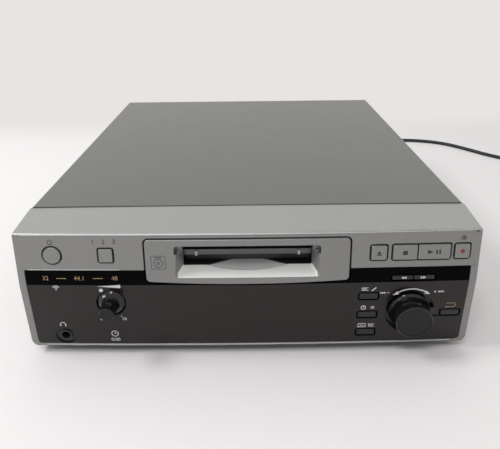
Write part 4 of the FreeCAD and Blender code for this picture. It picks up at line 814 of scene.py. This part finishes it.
knob_dot()
cap_disc("level_cap", LEVEL_X, LEVEL_Z, proud=13.3, radius=5.0, body="level_knob")
cap_disc("jog_cap", JOG_X, JOG_Z, proud=11.7, radius=12.2, body="jog_dial")
skirt_ring("jog_ring", JOG_X, JOG_Z, depth=1.0, radius=15.2, width=0.35, body="jog_dial",
           finish="black_gloss")


# Stage and light, in metres

FLOOR_SIZE = 60.0
FLOOR_TONES = ((0.79, 0.775, 0.775, 1.0), (0.82, 0.805, 0.805, 1.0))
PLAIN_TONE = (0.80, 0.775, 0.77, 1.0)
PLAIN_BEHIND = (0.33, 0.46)
PLAIN_AROUND = (0.8, 1.3)
HORIZON_SKY = 0.42
TOP_SKY = 0.98
FRONT_SHARE = 0.25
SEEN_SKY = 0.79
LAMP_SIZE = 0.4
LAMPS = [("upper_left", (-0.95, -0.15, 1.2), (0.0, -0.05, 0.05), 9.0),
         ("upper_front", (-0.3, -0.85, 1.45), (0.0, -0.1, 0.05), 6.0)]


def seen_rays(tree):
    """1 for what the camera sees, straight or by a mirror or glass, and 0 for light on a surface."""
    path = tree.nodes.new("ShaderNodeLightPath")
    mirrored = maths(tree, "MAXIMUM", path.outputs["Is Glossy Ray"], path.outputs["Is Transmission Ray"])
    return maths(tree, "MAXIMUM", path.outputs["Is Camera Ray"], mirrored)


def lay_floor():
    """Pale table, plain white where it is far from the deck."""
    deselect()
    bpy.ops.mesh.primitive_plane_add(size=FLOOR_SIZE, location=(0, 0, 0))
    floor = bpy.context.object
    floor.name = "floor"
    made = bpy.data.materials.new("pale_floor")
    made.use_nodes = True
    tree = made.node_tree
    shader = tree.nodes["Principled BSDF"]
    shader.inputs["Roughness"].default_value = 0.6
    shader.inputs["Specular IOR Level"].default_value = 0.2
    place = tree.nodes.new("ShaderNodeTexCoord").outputs["Object"]
    tone = noise(tree, place, 3.0, 2.0)
    tree.links.new(blended(tree, tone, *FLOOR_TONES), shader.inputs["Base Color"])
    parts = tree.nodes.new("ShaderNodeSeparateXYZ")
    tree.links.new(place, parts.inputs[0])
    length = tree.nodes.new("ShaderNodeVectorMath")
    length.operation = "LENGTH"
    tree.links.new(place, length.inputs[0])
    behind = span(tree, parts.outputs["Y"], *PLAIN_BEHIND)
    around = span(tree, length.outputs["Value"], *PLAIN_AROUND)
    far = maths(tree, "MAXIMUM", behind, around)
    seen = seen_rays(tree)
    plain = tree.nodes.new("ShaderNodeEmission")
    plain.inputs["Color"].default_value = PLAIN_TONE
    mixed = tree.nodes.new("ShaderNodeMixShader")
    tree.links.new(maths(tree, "MULTIPLY", far, seen), mixed.inputs[0])
    tree.links.new(shader.outputs[0], mixed.inputs[1])
    tree.links.new(plain.outputs[0], mixed.inputs[2])
    tree.links.new(mixed.outputs[0], tree.nodes["Material Output"].inputs["Surface"])
    floor.data.materials.append(made)


def lamp(name, place, target, size, power):
    data = bpy.data.lights.new(name, "AREA")
    data.shape = "SQUARE"
    data.size = size
    data.energy = power
    light = bpy.data.objects.new(name, data)
    light.location = place
    light.rotation_euler = (Vector(target) - Vector(place)).to_track_quat("-Z", "Y").to_euler()
    bpy.context.scene.collection.objects.link(light)


def light_up():
    """Pale sky that is brightest overhead and weak in front, and two soft lamps above the front."""
    world = bpy.data.worlds.new("studio")
    world.use_nodes = True
    tree = world.node_tree
    sky = tree.nodes["Background"]
    sky.inputs["Color"].default_value = (1.0, 0.995, 0.985, 1.0)
    way = tree.nodes.new("ShaderNodeSeparateXYZ")
    tree.links.new(tree.nodes.new("ShaderNodeTexCoord").outputs["Generated"], way.inputs[0])
    overhead = span(tree, way.outputs["Z"], 0.0, 0.8, HORIZON_SKY, TOP_SKY)
    behind = span(tree, way.outputs["Y"], -0.8, 0.2, FRONT_SHARE, 1.0)
    seen = seen_rays(tree)
    light = maths(tree, "MULTIPLY", overhead, behind)
    tree.links.new(span(tree, seen, 0.0, 1.0, light, SEEN_SKY), sky.inputs["Strength"])
    bpy.context.scene.world = world
    for name, place, target, power in LAMPS:
        lamp(name, place, target, LAMP_SIZE, power)


lay_floor()
light_up()
bpy.context.scene.view_settings.view_transform = "Standard"
